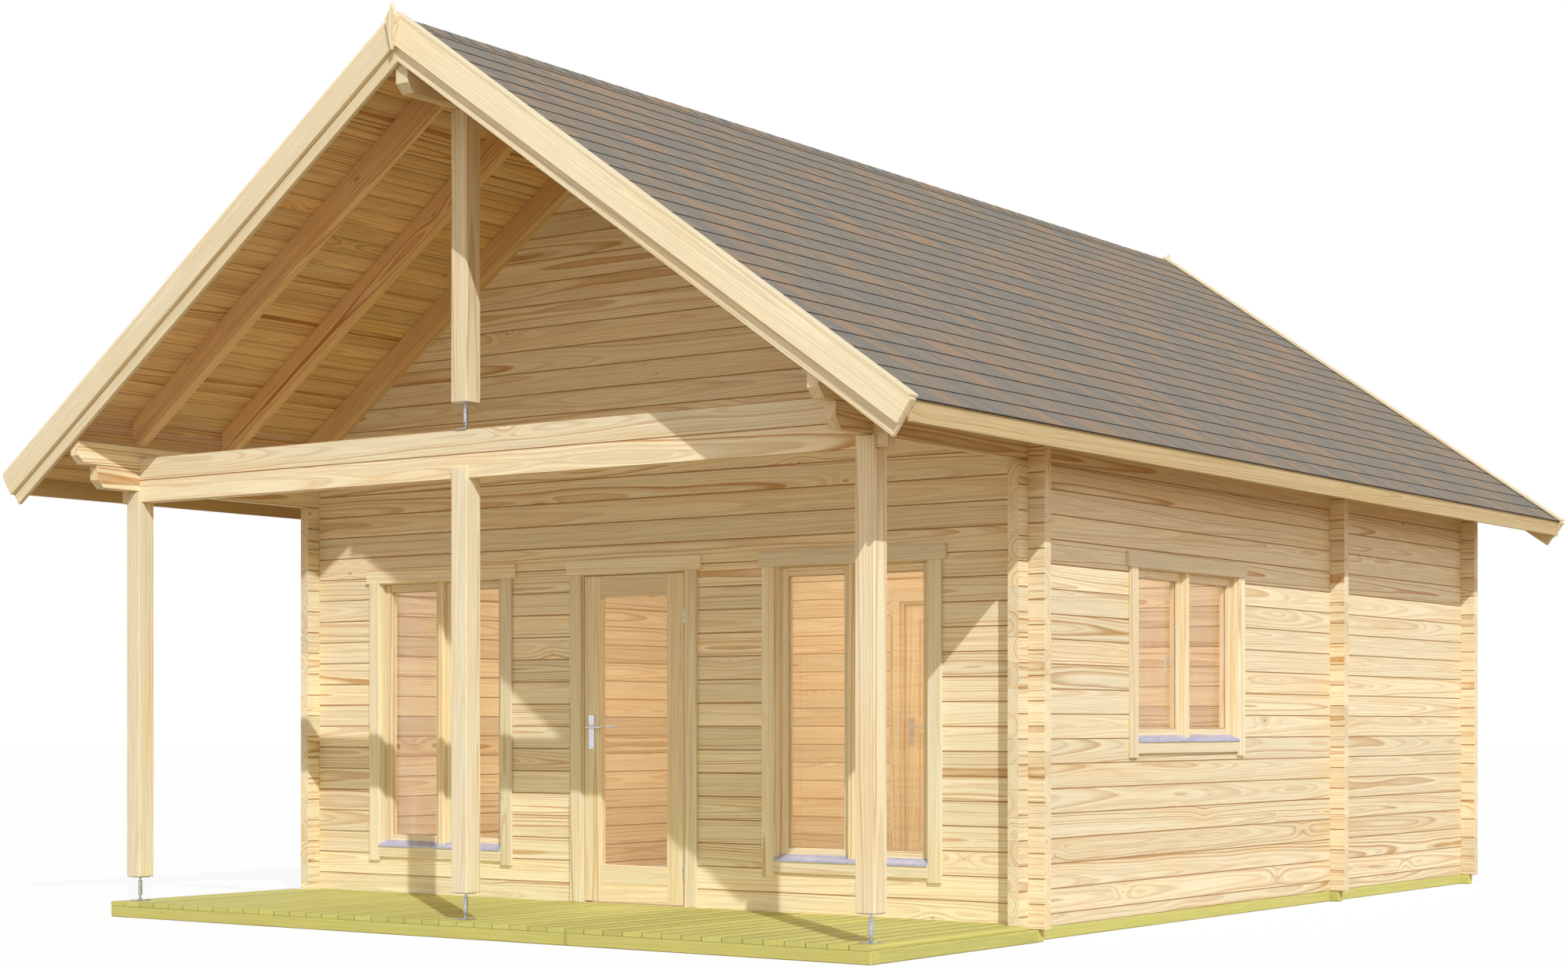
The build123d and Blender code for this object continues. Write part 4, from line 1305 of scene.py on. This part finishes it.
@dataclass
class RoofCovering:
    """Shingle courses and ceiling boards of both slopes, and the caps over the ridge."""

    exposure: float = 0.171
    tab_width: float = 0.34
    tab_thickness: float = 0.0038
    board_pitch: float = 0.121
    board_gap: float = 0.0008
    board_edge: float = 0.003
    deck_setback: float = 0.012
    deck_thickness: float = 0.019
    shingle_thickness: float = 0.008
    cap_width: float = 0.105
    cap_thickness: float = 0.0016
    cap_lift: float = 0.0006
    cap_lap: float = 0.12

    @staticmethod
    def slope_frame(side: int, start: float, end: float, peak: float) -> Matrix:
        """Frame of a slope: X along the ridge, Y down the slope, Z square to the deck.

        Args:
            side: One for the right slope, minus one for the left.
            start: Front end of the roof.
            end: Rear end of the roof.
            peak: Height of the deck's underside at the ridge.

        Returns:
            Matrix from the slope's frame to the part's.
        """
        down, lift = (Vector(way) for way in slope_ways(side))
        along = down.cross(lift)
        origin = Vector((0.0, end if along.y < 0 else start, peak))
        turn = Matrix((along, down, lift)).transposed().to_4x4()
        return Matrix.Translation(origin) @ turn

    def build(self) -> None:
        """Make the covering and the deck of both slopes, and the ridge."""
        for side, word, seed in ((1, "right", 6), (-1, "left", 5)):
            low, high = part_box(f"{word}_shingles")
            peak = high[2] - (self.deck_thickness + self.shingle_thickness) / math.cos(ROOF_ANGLE)
            frame = self.slope_frame(side, low[1], high[1], peak)
            self.lay_shingles(word, frame, high[1] - low[1], max(abs(low[0]), abs(high[0])))
            low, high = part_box(f"{word}_roof_deck")
            self.lay_deck(word, frame, high[1] - low[1], max(abs(low[0]), abs(high[0])), seed)
        self.lay_ridge()

    def lay_ridge(self) -> None:
        """Fold caps over the ridge."""
        low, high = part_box("right_shingles")
        count = round((high[1] - low[1]) / self.exposure)
        pitch = (high[1] - low[1]) / (count + self.cap_lap)
        values = {"Count": count, "Pitch": pitch, "Width": self.cap_width, "Thickness": self.cap_thickness}
        mesh = run_tree("ridge_caps", ridge_tree(self.cap_lap), SHINGLE, values)
        first = low[1] + pitch * (1.0 + self.cap_lap) / 2
        mesh.transform(Matrix.Translation((0.0, first, high[2] + self.cap_lift)))
        settle(link_piece("ridge_caps", mesh), SHINGLE, HOUSE)

    def lay_shingles(self, word: str, frame: Matrix, length: float, reach: float) -> None:
        """Lay one slope's courses up from the eaves.

        Args:
            word: Side of the house.
            frame: Frame of the slope.
            length: Length of the roof.
            reach: Distance of the eaves from the middle of the house.
        """
        rise = self.deck_thickness + self.shingle_thickness
        eaves = (reach - rise * math.sin(ROOF_ANGLE)) / math.cos(ROOF_ANGLE)
        courses = math.ceil(eaves / self.exposure)
        values = {
            "Courses": courses,
            "Exposure": self.exposure,
            "Tabs": math.ceil(length / self.tab_width) + 1,
            "Tab Width": self.tab_width,
            "Thickness": self.tab_thickness,
            "First Edge": eaves - (courses - 1) * self.exposure,
            "Length": length,
            "Ridge": -self.deck_thickness * ROOF_RISE,
        }
        mesh = run_tree(f"{word}_shingle_courses", shingle_tree(), SHINGLE, values)
        mesh.transform(frame @ Matrix.Translation((0.0, 0.0, self.deck_thickness)))
        settle(link_piece(f"{word}_shingle_courses", mesh), SHINGLE, HOUSE, f"{word}_shingles")

    def lay_deck(self, word: str, frame: Matrix, length: float, reach: float, seed: int) -> None:
        """Lay one slope's ceiling boards along the ridge.

        Args:
            word: Side of the house.
            frame: Frame of the slope.
            length: Length of the boards.
            reach: Distance of the eaves from the middle of the house.
            seed: Number that fixes the boards' random tones.
        """
        eaves = reach / math.cos(ROOF_ANGLE) - self.deck_setback
        count = round(eaves / self.board_pitch)
        pitch = eaves / count
        values = {
            "Count": count, "Pitch": pitch, "Gap": self.board_gap, "Length": length,
            "Thickness": self.deck_thickness, "Edge": self.board_edge, "Seed": seed,
        }
        mesh = run_tree(f"{word}_ceiling_boards", board_tree(), CEILING_PINE_PAINTED_SHADE, values)
        half = self.deck_thickness / 2
        quarter = Matrix(((0, 1, 0, 0), (1, 0, 0, pitch / 2), (0, 0, -1, half), (0, 0, 0, 1)))
        mesh.transform(frame @ quarter)
        settle(link_piece(f"{word}_ceiling_boards", mesh), CEILING_PINE_PAINTED_SHADE, HOUSE, f"{word}_roof_deck")


@dataclass
class Floors:
    """Porch decking with open joints and screws, and tongued boards in the rooms."""

    porch_boards: int = 43
    porch_gap: float = 0.004
    porch_edge: float = 0.004
    corner_notch: float = 0.1055
    bare_margin: float = 0.006
    screw_rows: int = 4
    screw_front: float = 0.06
    screw_rear: float = 0.18
    screw_spread: float = 0.6
    screw_sink: float = 0.0004
    room_pitch: float = 0.118
    porch_seed: int = 21
    room_seed: int = 31
    room_gap: float = 0.0008
    room_edge: float = 0.0015
    wall_gap: float = 0.0004

    def build(self) -> None:
        """Lay the porch and both rooms."""
        low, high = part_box("porch_floor")
        self.build_porch(low, high)
        self.set_screws(low, high)
        self.build_rooms()

    def build_porch(self, low: Sequence[float], high: Sequence[float]) -> None:
        """Lay the porch between its limits, with shorter boards beside the corners of the house.

        Args:
            low: Lower corner of the floor.
            high: Upper corner of the floor.
        """
        pitch = (high[0] - low[0]) / self.porch_boards
        depth = high[1] - low[1]
        last = self.porch_boards - 1
        short = depth - self.corner_notch
        meshes = []
        runs = ((0, 1, short), (1, last - 1, depth), (last, 1, short))
        for number, (first, count, length) in enumerate(runs):
            values = {
                "Count": count, "Pitch": pitch, "Gap": self.porch_gap, "Length": length,
                "Thickness": high[2] - low[2], "Edge": self.porch_edge, "Seed": self.porch_seed + number,
            }
            mesh = run_tree("porch_boards", board_tree(), TREATED_PINE, values)
            place = (low[0] + (first + 0.5) * pitch, low[1], (low[2] + high[2]) / 2)
            mesh.transform(Matrix.Translation(place))
            meshes.append(mesh)
        joined = join_meshes("porch_boards", meshes)
        self.bare_sides(joined, low[0], high[0])
        settle(link_piece("porch_boards", joined), TREATED_PINE, HOUSE, "porch_floor")

    def bare_sides(self, mesh: Mesh, left: float, right: float) -> None:
        """Take the joint's shade off the sides of the porch, where no board follows.

        Args:
            mesh: The boards.
            left: Place of the left side along X.
            right: Place of the right side along X.
        """
        shade = mesh.attributes["groove_shade"].data
        for face in mesh.polygons:
            if min(face.center.x - left, right - face.center.x) < self.bare_margin:
                shade[face.index].value = 0.0

    def set_screws(self, low: Sequence[float], high: Sequence[float]) -> None:
        """Screw the boards of the porch down in rows.

        Args:
            low: Lower corner of the floor.
            high: Upper corner of the floor.
        """
        pitch = (high[0] - low[0]) / self.porch_boards
        rows = high[1] - low[1] - self.screw_front - self.screw_rear
        values = {
            "Boards": self.porch_boards, "Rows": self.screw_rows, "Pitch": pitch,
            "Row Gap": rows / (self.screw_rows - 1), "Spread": pitch * self.screw_spread,
        }
        mesh = run_tree("porch_screws", screw_tree(), GALVANISED, values)
        start = (low[0] + pitch / 2, low[1] + self.screw_front, high[2] - self.screw_sink)
        mesh.transform(Matrix.Translation(start))
        settle(link_piece("porch_screws", mesh), GALVANISED, HOUSE)

    def build_rooms(self) -> None:
        """Lay the rooms' boards on both sides of the partition."""
        low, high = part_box("room_floors")
        wall_low, wall_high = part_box("partition_head")
        count = round((high[0] - low[0]) / self.room_pitch)
        pitch = (high[0] - low[0]) / count
        meshes = []
        for number, (near, far) in enumerate(((low[1], wall_low[1]), (wall_high[1], high[1]))):
            values = {
                "Count": count, "Pitch": pitch, "Gap": self.room_gap, "Length": far - near - self.wall_gap,
                "Thickness": high[2] - low[2], "Edge": self.room_edge, "Seed": self.room_seed + number,
            }
            mesh = run_tree("room_boards", board_tree(), PLANED_PINE, values)
            mesh.transform(Matrix.Translation((low[0] + pitch / 2, near, (low[2] + high[2]) / 2)))
            meshes.append(mesh)
        piece = link_piece("room_boards", join_meshes("room_boards", meshes))
        settle(piece, PLANED_PINE, HOUSE, "room_floors")


@dataclass
class PostFeet:
    """Levelling feet: two plates, a threaded rod with its nut, a sleeve on the rod, and bolts."""

    plate: float = 0.090
    plate_thickness: float = 0.005
    plate_edge: float = 0.0012
    rod: float = 0.008
    thread_root: float = 0.86
    thread_pitch: float = 0.0036
    sleeve: float = 0.0135
    sleeve_foot: float = 0.038
    sleeve_length: float = 0.088
    sleeve_overlap: float = 0.002
    nut: float = 1.9
    nut_height: float = 0.009
    bolt: float = 0.006
    bolt_height: float = 0.003
    bolt_place: float = 0.36
    rod_sides: int = 18
    sleeve_sides: int = 24
    nut_sides: int = 6
    post_half: float = 0.059
    tie_gap: float = 0.0003

    def build(self) -> None:
        """Make the feet of the three posts and of the king post."""
        low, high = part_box("porch_posts")
        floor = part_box("post_feet")[0][2]
        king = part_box("king_post")[0][2]
        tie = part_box("tie_beam")[1][2]
        depth = (low[1] + high[1]) / 2
        bm = bmesh.new()
        for across in (low[0] + self.post_half, 0.0, high[0] - self.post_half):
            self.add_foot(bm, Vector((across, depth, floor)), low[2] - floor)
        self.add_foot(bm, Vector((0.0, depth, tie + self.tie_gap)), king - tie - self.tie_gap)
        piece = link_piece("post_feet_turned", smooth_mesh("post_feet_turned", bm))
        settle(piece, GALVANISED, HOUSE, "post_feet")

    def add_foot(self, bm: BMesh, base: Vector, height: float) -> None:
        """Add one foot.

        Args:
            bm: Mesh that the foot goes into.
            base: Middle of the foot's underside.
            height: Height of the foot.
        """
        foot = self.plate_thickness
        self.add_plate(bm, base)
        self.add_plate(bm, base + Vector((0.0, 0.0, height - foot)))
        thread = [(self.rod, foot)]
        while thread[-1][1] < self.sleeve_foot:
            rise = thread[-1][1]
            root = (self.rod * self.thread_root, rise + self.thread_pitch / 2)
            thread += [root, (self.rod, rise + self.thread_pitch)]
        self.turn(bm, base, thread, self.rod_sides)
        top = self.sleeve_foot + self.sleeve_length
        self.turn(bm, base, self.chamfered(self.sleeve, self.sleeve_foot, top), self.sleeve_sides)
        upper = self.chamfered(self.rod, top - self.sleeve_overlap, height - foot)
        self.turn(bm, base, upper, self.rod_sides)
        nut = self.chamfered(self.rod * self.nut, foot, foot + self.nut_height)
        self.turn(bm, base, nut, self.nut_sides)
        bolt = self.chamfered(self.bolt, foot, foot + self.bolt_height)
        corner = self.plate * self.bolt_place
        for quarter in range(4):
            way = Matrix.Rotation(quarter * math.pi / 2, 3, "Z") @ Vector((corner, corner, 0.0))
            self.turn(bm, base + way, bolt, self.nut_sides)

    def add_plate(self, bm: BMesh, base: Vector) -> None:
        """Add a square plate with rounded edges.

        Args:
            bm: Mesh that is added to.
            base: Middle of the plate's underside.
        """
        half = self.plate_thickness / 2
        size = Matrix.Diagonal((self.plate, self.plate, self.plate_thickness, 1.0))
        place = Matrix.Translation(base + Vector((0.0, 0.0, half))) @ size
        made = bmesh.ops.create_cube(bm, size=1.0, matrix=place)["verts"]
        edges = list(dict.fromkeys(edge for vert in made for edge in vert.link_edges))
        bmesh.ops.bevel(bm, geom=edges, offset=self.plate_edge, segments=2, profile=0.5, affect="EDGES")

    @staticmethod
    def chamfered(radius: float, low: float, high: float) -> list[tuple[float, float]]:
        """Outline of a turned part with chamfered ends.

        Args:
            radius: Radius of the part.
            low: Lower end.
            high: Upper end.

        Returns:
            Pairs of radius and height.
        """
        most_radius, most_height = 0.15, 0.2
        cut = min(radius * most_radius, (high - low) * most_height)
        return [(radius - cut, low), (radius, low + cut), (radius, high - cut), (radius - cut, high)]

    @staticmethod
    def turn(bm: BMesh, base: Vector, outline: list[tuple[float, float]], sides: int) -> None:
        """Add a closed turned shape.

        Args:
            bm: Mesh that it goes into.
            base: Point on its axis from which heights count.
            outline: Radius and height of each ring, from the bottom.
            sides: Number of sides of a ring.
        """
        angles = [2 * math.pi * step / sides for step in range(sides)]
        ways = [(math.cos(angle), math.sin(angle)) for angle in angles]
        rings = [
            [bm.verts.new(base + Vector((radius * x, radius * y, height))) for x, y in ways]
            for radius, height in outline
        ]
        for lower, upper in zip(rings, rings[1:]):
            for step in range(sides):
                after = (step + 1) % sides
                bm.faces.new((lower[step], lower[after], upper[after], upper[step]))
        bm.faces.new(rings[0][::-1])
        bm.faces.new(rings[-1])


@dataclass
class WallFace:
    """Outer face of a wall, in which windows are placed by run, depth and height."""

    origin: Vector
    turned: bool = False

    def limits(self, run: Limits, depth: Limits, height: Limits) -> tuple[Limits, Limits, Limits]:
        """Limits along the part's axes of a box given in the wall's own directions.

        Args:
            run: Limits along the wall.
            depth: Limits through the wall.
            height: Limits above the origin.

        Returns:
            Limits along X, Y and Z.
        """
        x0, y0, z0 = self.origin
        up = (z0 + height[0], z0 + height[1])
        if self.turned:
            return (x0 - depth[1], x0 - depth[0]), (y0 + run[0], y0 + run[1]), up
        return (x0 + run[0], x0 + run[1]), (y0 + depth[0], y0 + depth[1]), up


@dataclass(frozen=True)
class CatchBlock:
    """Block of a window catch, from the middle of the sash's stile and from its room side."""

    half_width: float
    height: Limits
    depth: Limits


CATCH = (
    CatchBlock(0.014, (-0.036, 0.036), (0.0, 0.010)),
    CatchBlock(0.009, (-0.010, 0.010), (0.0102, 0.034)),
    CatchBlock(0.009, (-0.118, 0.012), (0.0342, 0.046)),
)


@dataclass
class Window:
    """Two-light window: frame with a middle post, sashes, glazing beads, gaskets and a catch."""

    face: WallFace
    run: Limits
    height: Limits
    frame_width: float = 0.043
    frame_depth: float = 0.090
    sash_width: float = 0.048
    bottom_rail: float = 0.080
    sash_depth: float = 0.056
    fit: float = 0.0004
    bead: float = 0.004
    bead_depth: float = 0.008
    gasket_width: float = 0.006
    gasket_depth: float = 0.001
    pane_front: float = 0.050

    @staticmethod
    def members(run: Limits, height: Limits, width: float, foot: float = 0.0) -> list[Rectangle]:
        """Two uprights, and a head and a foot between them.

        Args:
            run: Limits along the wall.
            height: Limits above the origin.
            width: Width of the uprights and the head.
            foot: Width of the foot; with zero it is as wide as the rest.

        Returns:
            Run and height of each member.
        """
        inner = inset(run, width)
        return [
            ((run[0], inner[0]), height),
            ((inner[1], run[1]), height),
            (inner, (height[1] - width, height[1])),
            (inner, (height[0], height[0] + (foot or width))),
        ]

    def put(self, boards: BoardSet, pieces: Iterable[Rectangle], depth: Limits) -> None:
        """Add face rectangles to a set of boards at a depth."""
        for run, height in pieces:
            boards.add(*self.face.limits(run, depth, height))

    def lights(self) -> list[Rectangle]:
        """Run and height of the two sashes.

        Returns:
            Run and height of each sash.
        """
        edge = self.fit * 2 + self.frame_width
        low, high = inset(self.run, edge)
        middle = (low + high) / 2
        post = self.frame_width / 2 + self.fit
        height = inset(self.height, edge)
        return [((low, middle - post), height), ((middle + post, high), height)]

    def add_catch(self, catches: BoardSet) -> None:
        """Add the catch on the room side of the left sash, with its lever down.

        Args:
            catches: Set that the catch joins.
        """
        (_, end), (foot, top) = self.lights()[0]
        middle = end - self.sash_width / 2
        rise = (foot + top) / 2
        back = self.frame_depth
        for block in CATCH:
            run = (middle - block.half_width, middle + block.half_width)
            height = (rise + block.height[0], rise + block.height[1])
            self.put(catches, [(run, height)], (back + block.depth[0], back + block.depth[1]))

    def build(self, frames: BoardSet, sashes: BoardSet, beads: BoardSet, gaskets: BoardSet) -> None:
        """Add the window's members to the four sets.

        Args:
            frames: Set of the outer frames.
            sashes: Set of the sashes.
            beads: Set of the glazing beads.
            gaskets: Set of the gaskets.
        """
        run = inset(self.run, self.fit)
        height = inset(self.height, self.fit)
        self.put(frames, self.members(run, height, self.frame_width), (0.0, self.frame_depth))
        middle = (run[0] + run[1]) / 2
        post = (middle - self.frame_width / 2, middle + self.frame_width / 2)
        self.put(frames, [(post, inset(height, self.frame_width))], (0.0, self.frame_depth))
        front = self.frame_depth - self.sash_depth
        seat = self.pane_front - self.gasket_depth
        for light, tall in self.lights():
            members = self.members(light, tall, self.sash_width, self.bottom_rail)
            self.put(sashes, members, (front, self.frame_depth))
            opening = inset(light, self.sash_width), (tall[0] + self.bottom_rail, tall[1] - self.sash_width)
            self.put(beads, self.members(*opening, self.bead), (self.pane_front - self.bead_depth, seat))
            self.put(gaskets, self.members(*opening, self.gasket_width), (seat, self.pane_front))


@dataclass
class Windows:
    """The two tall front windows and the side window."""

    front_distance: float = 1.610
    front_width: float = 1.130
    front_height: Limits = (0.280, 2.100)
    side_distance: float = 1.940
    side_width: float = 1.415
    side_height: Limits = (0.980, 2.100)
    half_house: float = 2.790

    def build(self, wall_front: float, base: float) -> None:
        """Make the windows' joinery and catches.

        Args:
            wall_front: Outer face of the front wall.
            base: Height of the walls' foot.
        """
        front = WallFace(Vector((0.0, wall_front, base)))
        side = WallFace(Vector((self.half_house, wall_front, base)), turned=True)
        windows = [
            Window(face, (place - width / 2, place + width / 2), height)
            for face, place, width, height in (
                (front, -self.front_distance, self.front_width, self.front_height),
                (front, self.front_distance, self.front_width, self.front_height),
                (side, self.side_distance, self.side_width, self.side_height),
            )
        ]
        frames = BoardSet("window_frame_members", JOINERY_PINE, edge=0.002, seed=41)
        sashes = BoardSet("window_sash_members", JOINERY_PINE, edge=0.003, seed=42)
        beads = BoardSet("window_glazing_beads", JOINERY_PINE, edge=0.001, seed=43)
        gaskets = BoardSet("window_gaskets", GASKET, edge=0.0002, seed=44)
        catches = BoardSet("window_handles", ALUMINIUM, edge=0.003, seed=45)
        for window in windows:
            window.build(frames, sashes, beads, gaskets)
            window.add_catch(catches)
        catches.build()
        frames.build("window_frames")
        sashes.build("window_sashes")
        beads.build()
        gaskets.build()


@dataclass
class DoorLeaf:
    """Stiles, rails and panels of a leaf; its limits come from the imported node."""

    node: str
    body: str
    stile: float = 0.130
    top_rail: float = 0.133
    bottom_rail: float = 0.227
    middle_rail: Limits = (1.010, 1.150)
    seam: float = 0.0006
    edge: float = 0.0015
    panel_inset: float = 0.012
    field_inset: float = 0.005
    field_margin: float = 0.06

    def start(self, name: str, seed: int) -> tuple[BoardSet, Limits, Limits, Limits]:
        """Begin a leaf with its two stiles.

        Args:
            name: Name of the piece.
            seed: Number that fixes the random tones.

        Returns:
            The boards, and the limits of the rails' run, the depth and the height.
        """
        low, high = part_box(self.node)
        run, depth, height = zip(low, high)
        leaf = BoardSet(name, JOINERY_PINE, self.body, self.edge, seed)
        leaf.add((run[0], run[0] + self.stile), depth, height)
        leaf.add((run[1] - self.stile, run[1]), depth, height)
        return leaf, inset(run, self.stile + self.seam), depth, height

    def build_glazed(self) -> None:
        """Entrance leaf with two boards in the bottom rail."""
        leaf, inner, depth, (foot, top) = self.start("entrance_leaf_members", seed=51)
        middle = foot + self.bottom_rail / 2
        leaf.add(inner, depth, (top - self.top_rail, top))
        leaf.add(inner, depth, (foot, middle - self.seam))
        leaf.add(inner, depth, (middle + self.seam, foot + self.bottom_rail))
        leaf.build(self.node)

    def build_panelled(self) -> None:
        """Partition leaf with a raised panel above and below a middle rail."""
        leaf, inner, depth, (foot, top) = self.start("partition_leaf_members", seed=52)
        low_rail, high_rail = (foot + height for height in self.middle_rail)
        rails = [(foot, foot + self.bottom_rail), (low_rail, high_rail), (top - self.top_rail, top)]
        for rail in rails:
            leaf.add(inner, depth, rail)
        for below, above in zip(rails, rails[1:]):
            panel = (below[1], above[0])
            leaf.add(inner, inset(depth, self.panel_inset), panel)
            margin = self.field_margin
            leaf.add(inset(inner, margin), inset(depth, self.field_inset), inset(panel, margin))
        leaf.build(self.node)


LOG_NODES = (
    "front_wall_left", "front_wall_right", "front_wall_head", "front_gable", "left_wall", "right_wall",
    "rear_wall", "rear_gable", "partition_left", "partition_right", "partition_head",
    "left_eaves_logs", "right_eaves_logs", "tie_beam",
)
TIMBERS = (
    *(Timber(node, LOG_PINE, edge=0.0012, grooved=True) for node in LOG_NODES),
    Timber("foundation_beams", TREATED_PINE, edge=0.0055),
    Timber("porch_posts", PLANED_PINE, edge=0.004),
    Timber("king_post", PLANED_PINE, edge=0.004),
    Timber("ridge_purlin", PLANED_PINE, edge=0.003),
    Timber("rafters", CEILING_PINE_PAINTED_SHADE, Grain.SLOPE, 0.003),
    Timber("fascias", FASCIA_PINE_PAINTED_SHADE),
    Timber("bargeboards", PLANED_PINE, Grain.SLOPE),
    Timber("verge_caps", PLANED_PINE, Grain.SLOPE),
    Timber("finials", PLANED_PINE),
    Timber("window_casings", PLANED_PINE),
    Timber("door_frame", JOINERY_PINE, edge=0.0015),
    Timber("door_casing", PLANED_PINE),
    Timber("partition_door_frame", JOINERY_PINE, edge=0.0015),
    Timber("partition_door_casing", PLANED_PINE),
)
FITTINGS = (
    Fitting("drip_rails", RAIL_ALUMINIUM, edge=0.0008),
    Fitting("door_handle_plates", ALUMINIUM, "entrance_door", 0.0025),
    Fitting("door_lever", ALUMINIUM, "entrance_lever", 0.002),
    Fitting("door_hinge_pins", GALVANISED),
    Fitting("door_hinge_knuckles", GALVANISED, "entrance_door"),
    Fitting("partition_door_handle_plates", ALUMINIUM, "partition_door", 0.0025),
    Fitting("partition_door_lever", ALUMINIUM, "partition_lever", 0.002),
    Fitting("partition_door_hinge_pins", GALVANISED),
    Fitting("partition_door_hinge_knuckles", GALVANISED, "partition_door"),
)
PANES = ("window_panes", "door_pane")
# Shares of the rooms' length between which each lamp hangs.
ROOM_LIGHTS = {"front_room_light": (0.12, 0.52), "rear_room_light": (0.72, 0.95)}


@dataclass
class Studio:
    """Camera at the photograph's place, crisp daylight, and a white surround."""

    camera_place: Vector = Vector((9.988, -14.930, 1.194))
    view: Vector = Vector((-0.5809, 0.8141, 0.0))
    lens: float = 59.418
    sensor: float = 36.0
    shift_y: float = 0.15445
    clip_end: float = 500.0
    to_sun: Vector = Vector((0.604, -0.515, 0.609))
    sun_strength: float = 2.7
    sun_angle: float = 0.5
    sun_colour: Colour = (0.945, 0.98, 1.0)
    horizon_strength: float = 1.70
    zenith_strength: float = 0.10
    fill: Colour = (1.0, 0.942, 0.875)
    bounce: Colour = (0.46, 0.335, 0.20)
    room_light: float = 80.0
    room_colour: Colour = (1.0, 0.88, 0.735)
    room_width: float = 3.6
    room_depth: float = 2.4
    room_height: float = 2.95
    floor_size: float = 120.0
    floor_drop: float = 0.001
    floor_roughness: float = 0.9
    floor_glow: float = 0.93

    def build(self) -> None:
        """Set up camera, light, surround and floor."""
        scene = bpy.context.scene
        scene.view_settings.view_transform = "Standard"
        self.build_camera(scene)
        lamp = bpy.data.lights.new("daylight", "SUN")
        lamp.energy = self.sun_strength
        lamp.angle = math.radians(self.sun_angle)
        lamp.color = self.sun_colour
        sun = bpy.data.objects.new("daylight", lamp)
        sun.rotation_euler = self.to_sun.to_track_quat("Z", "Y").to_euler()
        scene.collection.objects.link(sun)
        self.build_room_light(scene)
        self.build_surround(scene)
        self.build_floor()

    def build_camera(self, scene: bpy.types.Scene) -> None:
        """Level camera whose lens is shifted up.

        Args:
            scene: Scene that is set up.
        """
        data = bpy.data.cameras.new("camera")
        data.lens = self.lens
        data.sensor_width = self.sensor
        data.shift_y = self.shift_y
        data.clip_end = self.clip_end
        camera = bpy.data.objects.new("camera", data)
        camera.location = self.camera_place
        camera.rotation_euler = (-self.view).to_track_quat("Z", "Y").to_euler()
        scene.collection.objects.link(camera)
        scene.camera = camera

    def build_room_light(self, scene: bpy.types.Scene) -> None:
        """Soft light under the roof, so that the rooms show through the glass.

        Args:
            scene: Scene that is set up.
        """
        low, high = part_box("room_floors")
        length = high[1] - low[1]
        for name, (near, far) in ROOM_LIGHTS.items():
            lamp = bpy.data.lights.new(name, "AREA")
            lamp.shape = "RECTANGLE"
            lamp.size = self.room_width
            lamp.size_y = length * (far - near)
            lamp.energy = self.room_light * lamp.size_y / self.room_depth
            lamp.color = self.room_colour
            light = bpy.data.objects.new(name, lamp)
            light.location = (0.0, low[1] + length * (near + far) / 2, self.room_height)
            scene.collection.objects.link(light)

    @staticmethod
    def seen(net: Wiring) -> Socket:
        """One for rays from the camera, and those that a mirror or glass sends on.

        Args:
            net: Wiring of the tree that is being built.

        Returns:
            The mask of those rays.
        """
        path = net.add("ShaderNodeLightPath").outputs
        seen = net.math("MAXIMUM", path["Is Camera Ray"], path["Is Glossy Ray"])
        return net.math("MAXIMUM", seen, path["Is Transmission Ray"])

    def build_surround(self, scene: bpy.types.Scene) -> None:
        """White surround whose light on the object comes from low down and fades towards the zenith.

        Args:
            scene: Scene that is set up.
        """
        world = bpy.data.worlds.new("surround")
        world.use_nodes = True
        scene.world = world
        net = Wiring(world.node_tree)
        nodes = world.node_tree.nodes
        _, _, up = net.split(net.add("ShaderNodeTexCoord").outputs["Generated"])
        low = net.minus(1.0, net.math("MAXIMUM", up, 0.0))
        level = net.times_plus(net.times(low, low), self.horizon_strength, self.zenith_strength)
        net.fill(nodes["Background"], {"Color": rgba(self.fill), "Strength": level})
        white = net.add("ShaderNodeBackground", None, {"Color": rgba(WHITE), "Strength": 1.0})
        both = net.blend(self.seen(net), nodes["Background"], white)
        net.fill(nodes["World Output"], {"Surface": both})

    def build_floor(self) -> None:
        """Pale floor that keeps a light shadow of the house."""
        bm = bmesh.new()
        place = Matrix.Translation((0.0, 0.0, -self.floor_drop))
        bmesh.ops.create_grid(bm, x_segments=4, y_segments=4, size=self.floor_size, matrix=place)
        mesh = bpy.data.meshes.new("studio_floor")
        bm.to_mesh(mesh)
        bm.free()
        net, shader = new_material("pale_floor")
        seen = self.seen(net)
        net.fill(shader, {
            "Base Color": net.mix(seen, self.bounce, WHITE),
            "Roughness": self.floor_roughness,
            "Specular IOR Level": 0.0,
        })
        white = net.add("ShaderNodeEmission", None, {"Color": rgba(WHITE), "Strength": 1.0})
        both = net.blend(net.times(seen, self.floor_glow), shader, white)
        net.fill(net.tree.nodes["Material Output"], {"Surface": both})
        mesh.materials.append(bpy.data.materials["pale_floor"])
        floor = link_piece("studio_floor", mesh)


def main() -> None:
    """Build every sub-assembly in order."""
    logging.basicConfig(level=logging.INFO, format="%(name)s: %(message)s")
    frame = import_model()
    for number, timber in enumerate(TIMBERS):
        timber.build(frame, TIMBER_SEED + number)
    for node in PANES:
        materials = frame["nodes"][node].data.materials
        materials.clear()
        materials.append(GLASS.material())
    for fitting in FITTINGS:
        fitting.build(frame)
    RoofCovering().build()
    Floors().build()
    PostFeet().build()
    wall_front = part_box("front_wall_head")[0][1]
    Windows().build(wall_front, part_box("foundation_beams")[1][2])
    DoorLeaf("door_leaf", "entrance_door").build_glazed()
    DoorLeaf("partition_door_leaf", "partition_door").build_panelled()
    Studio().build()


if __name__ == "__main__":
    main()
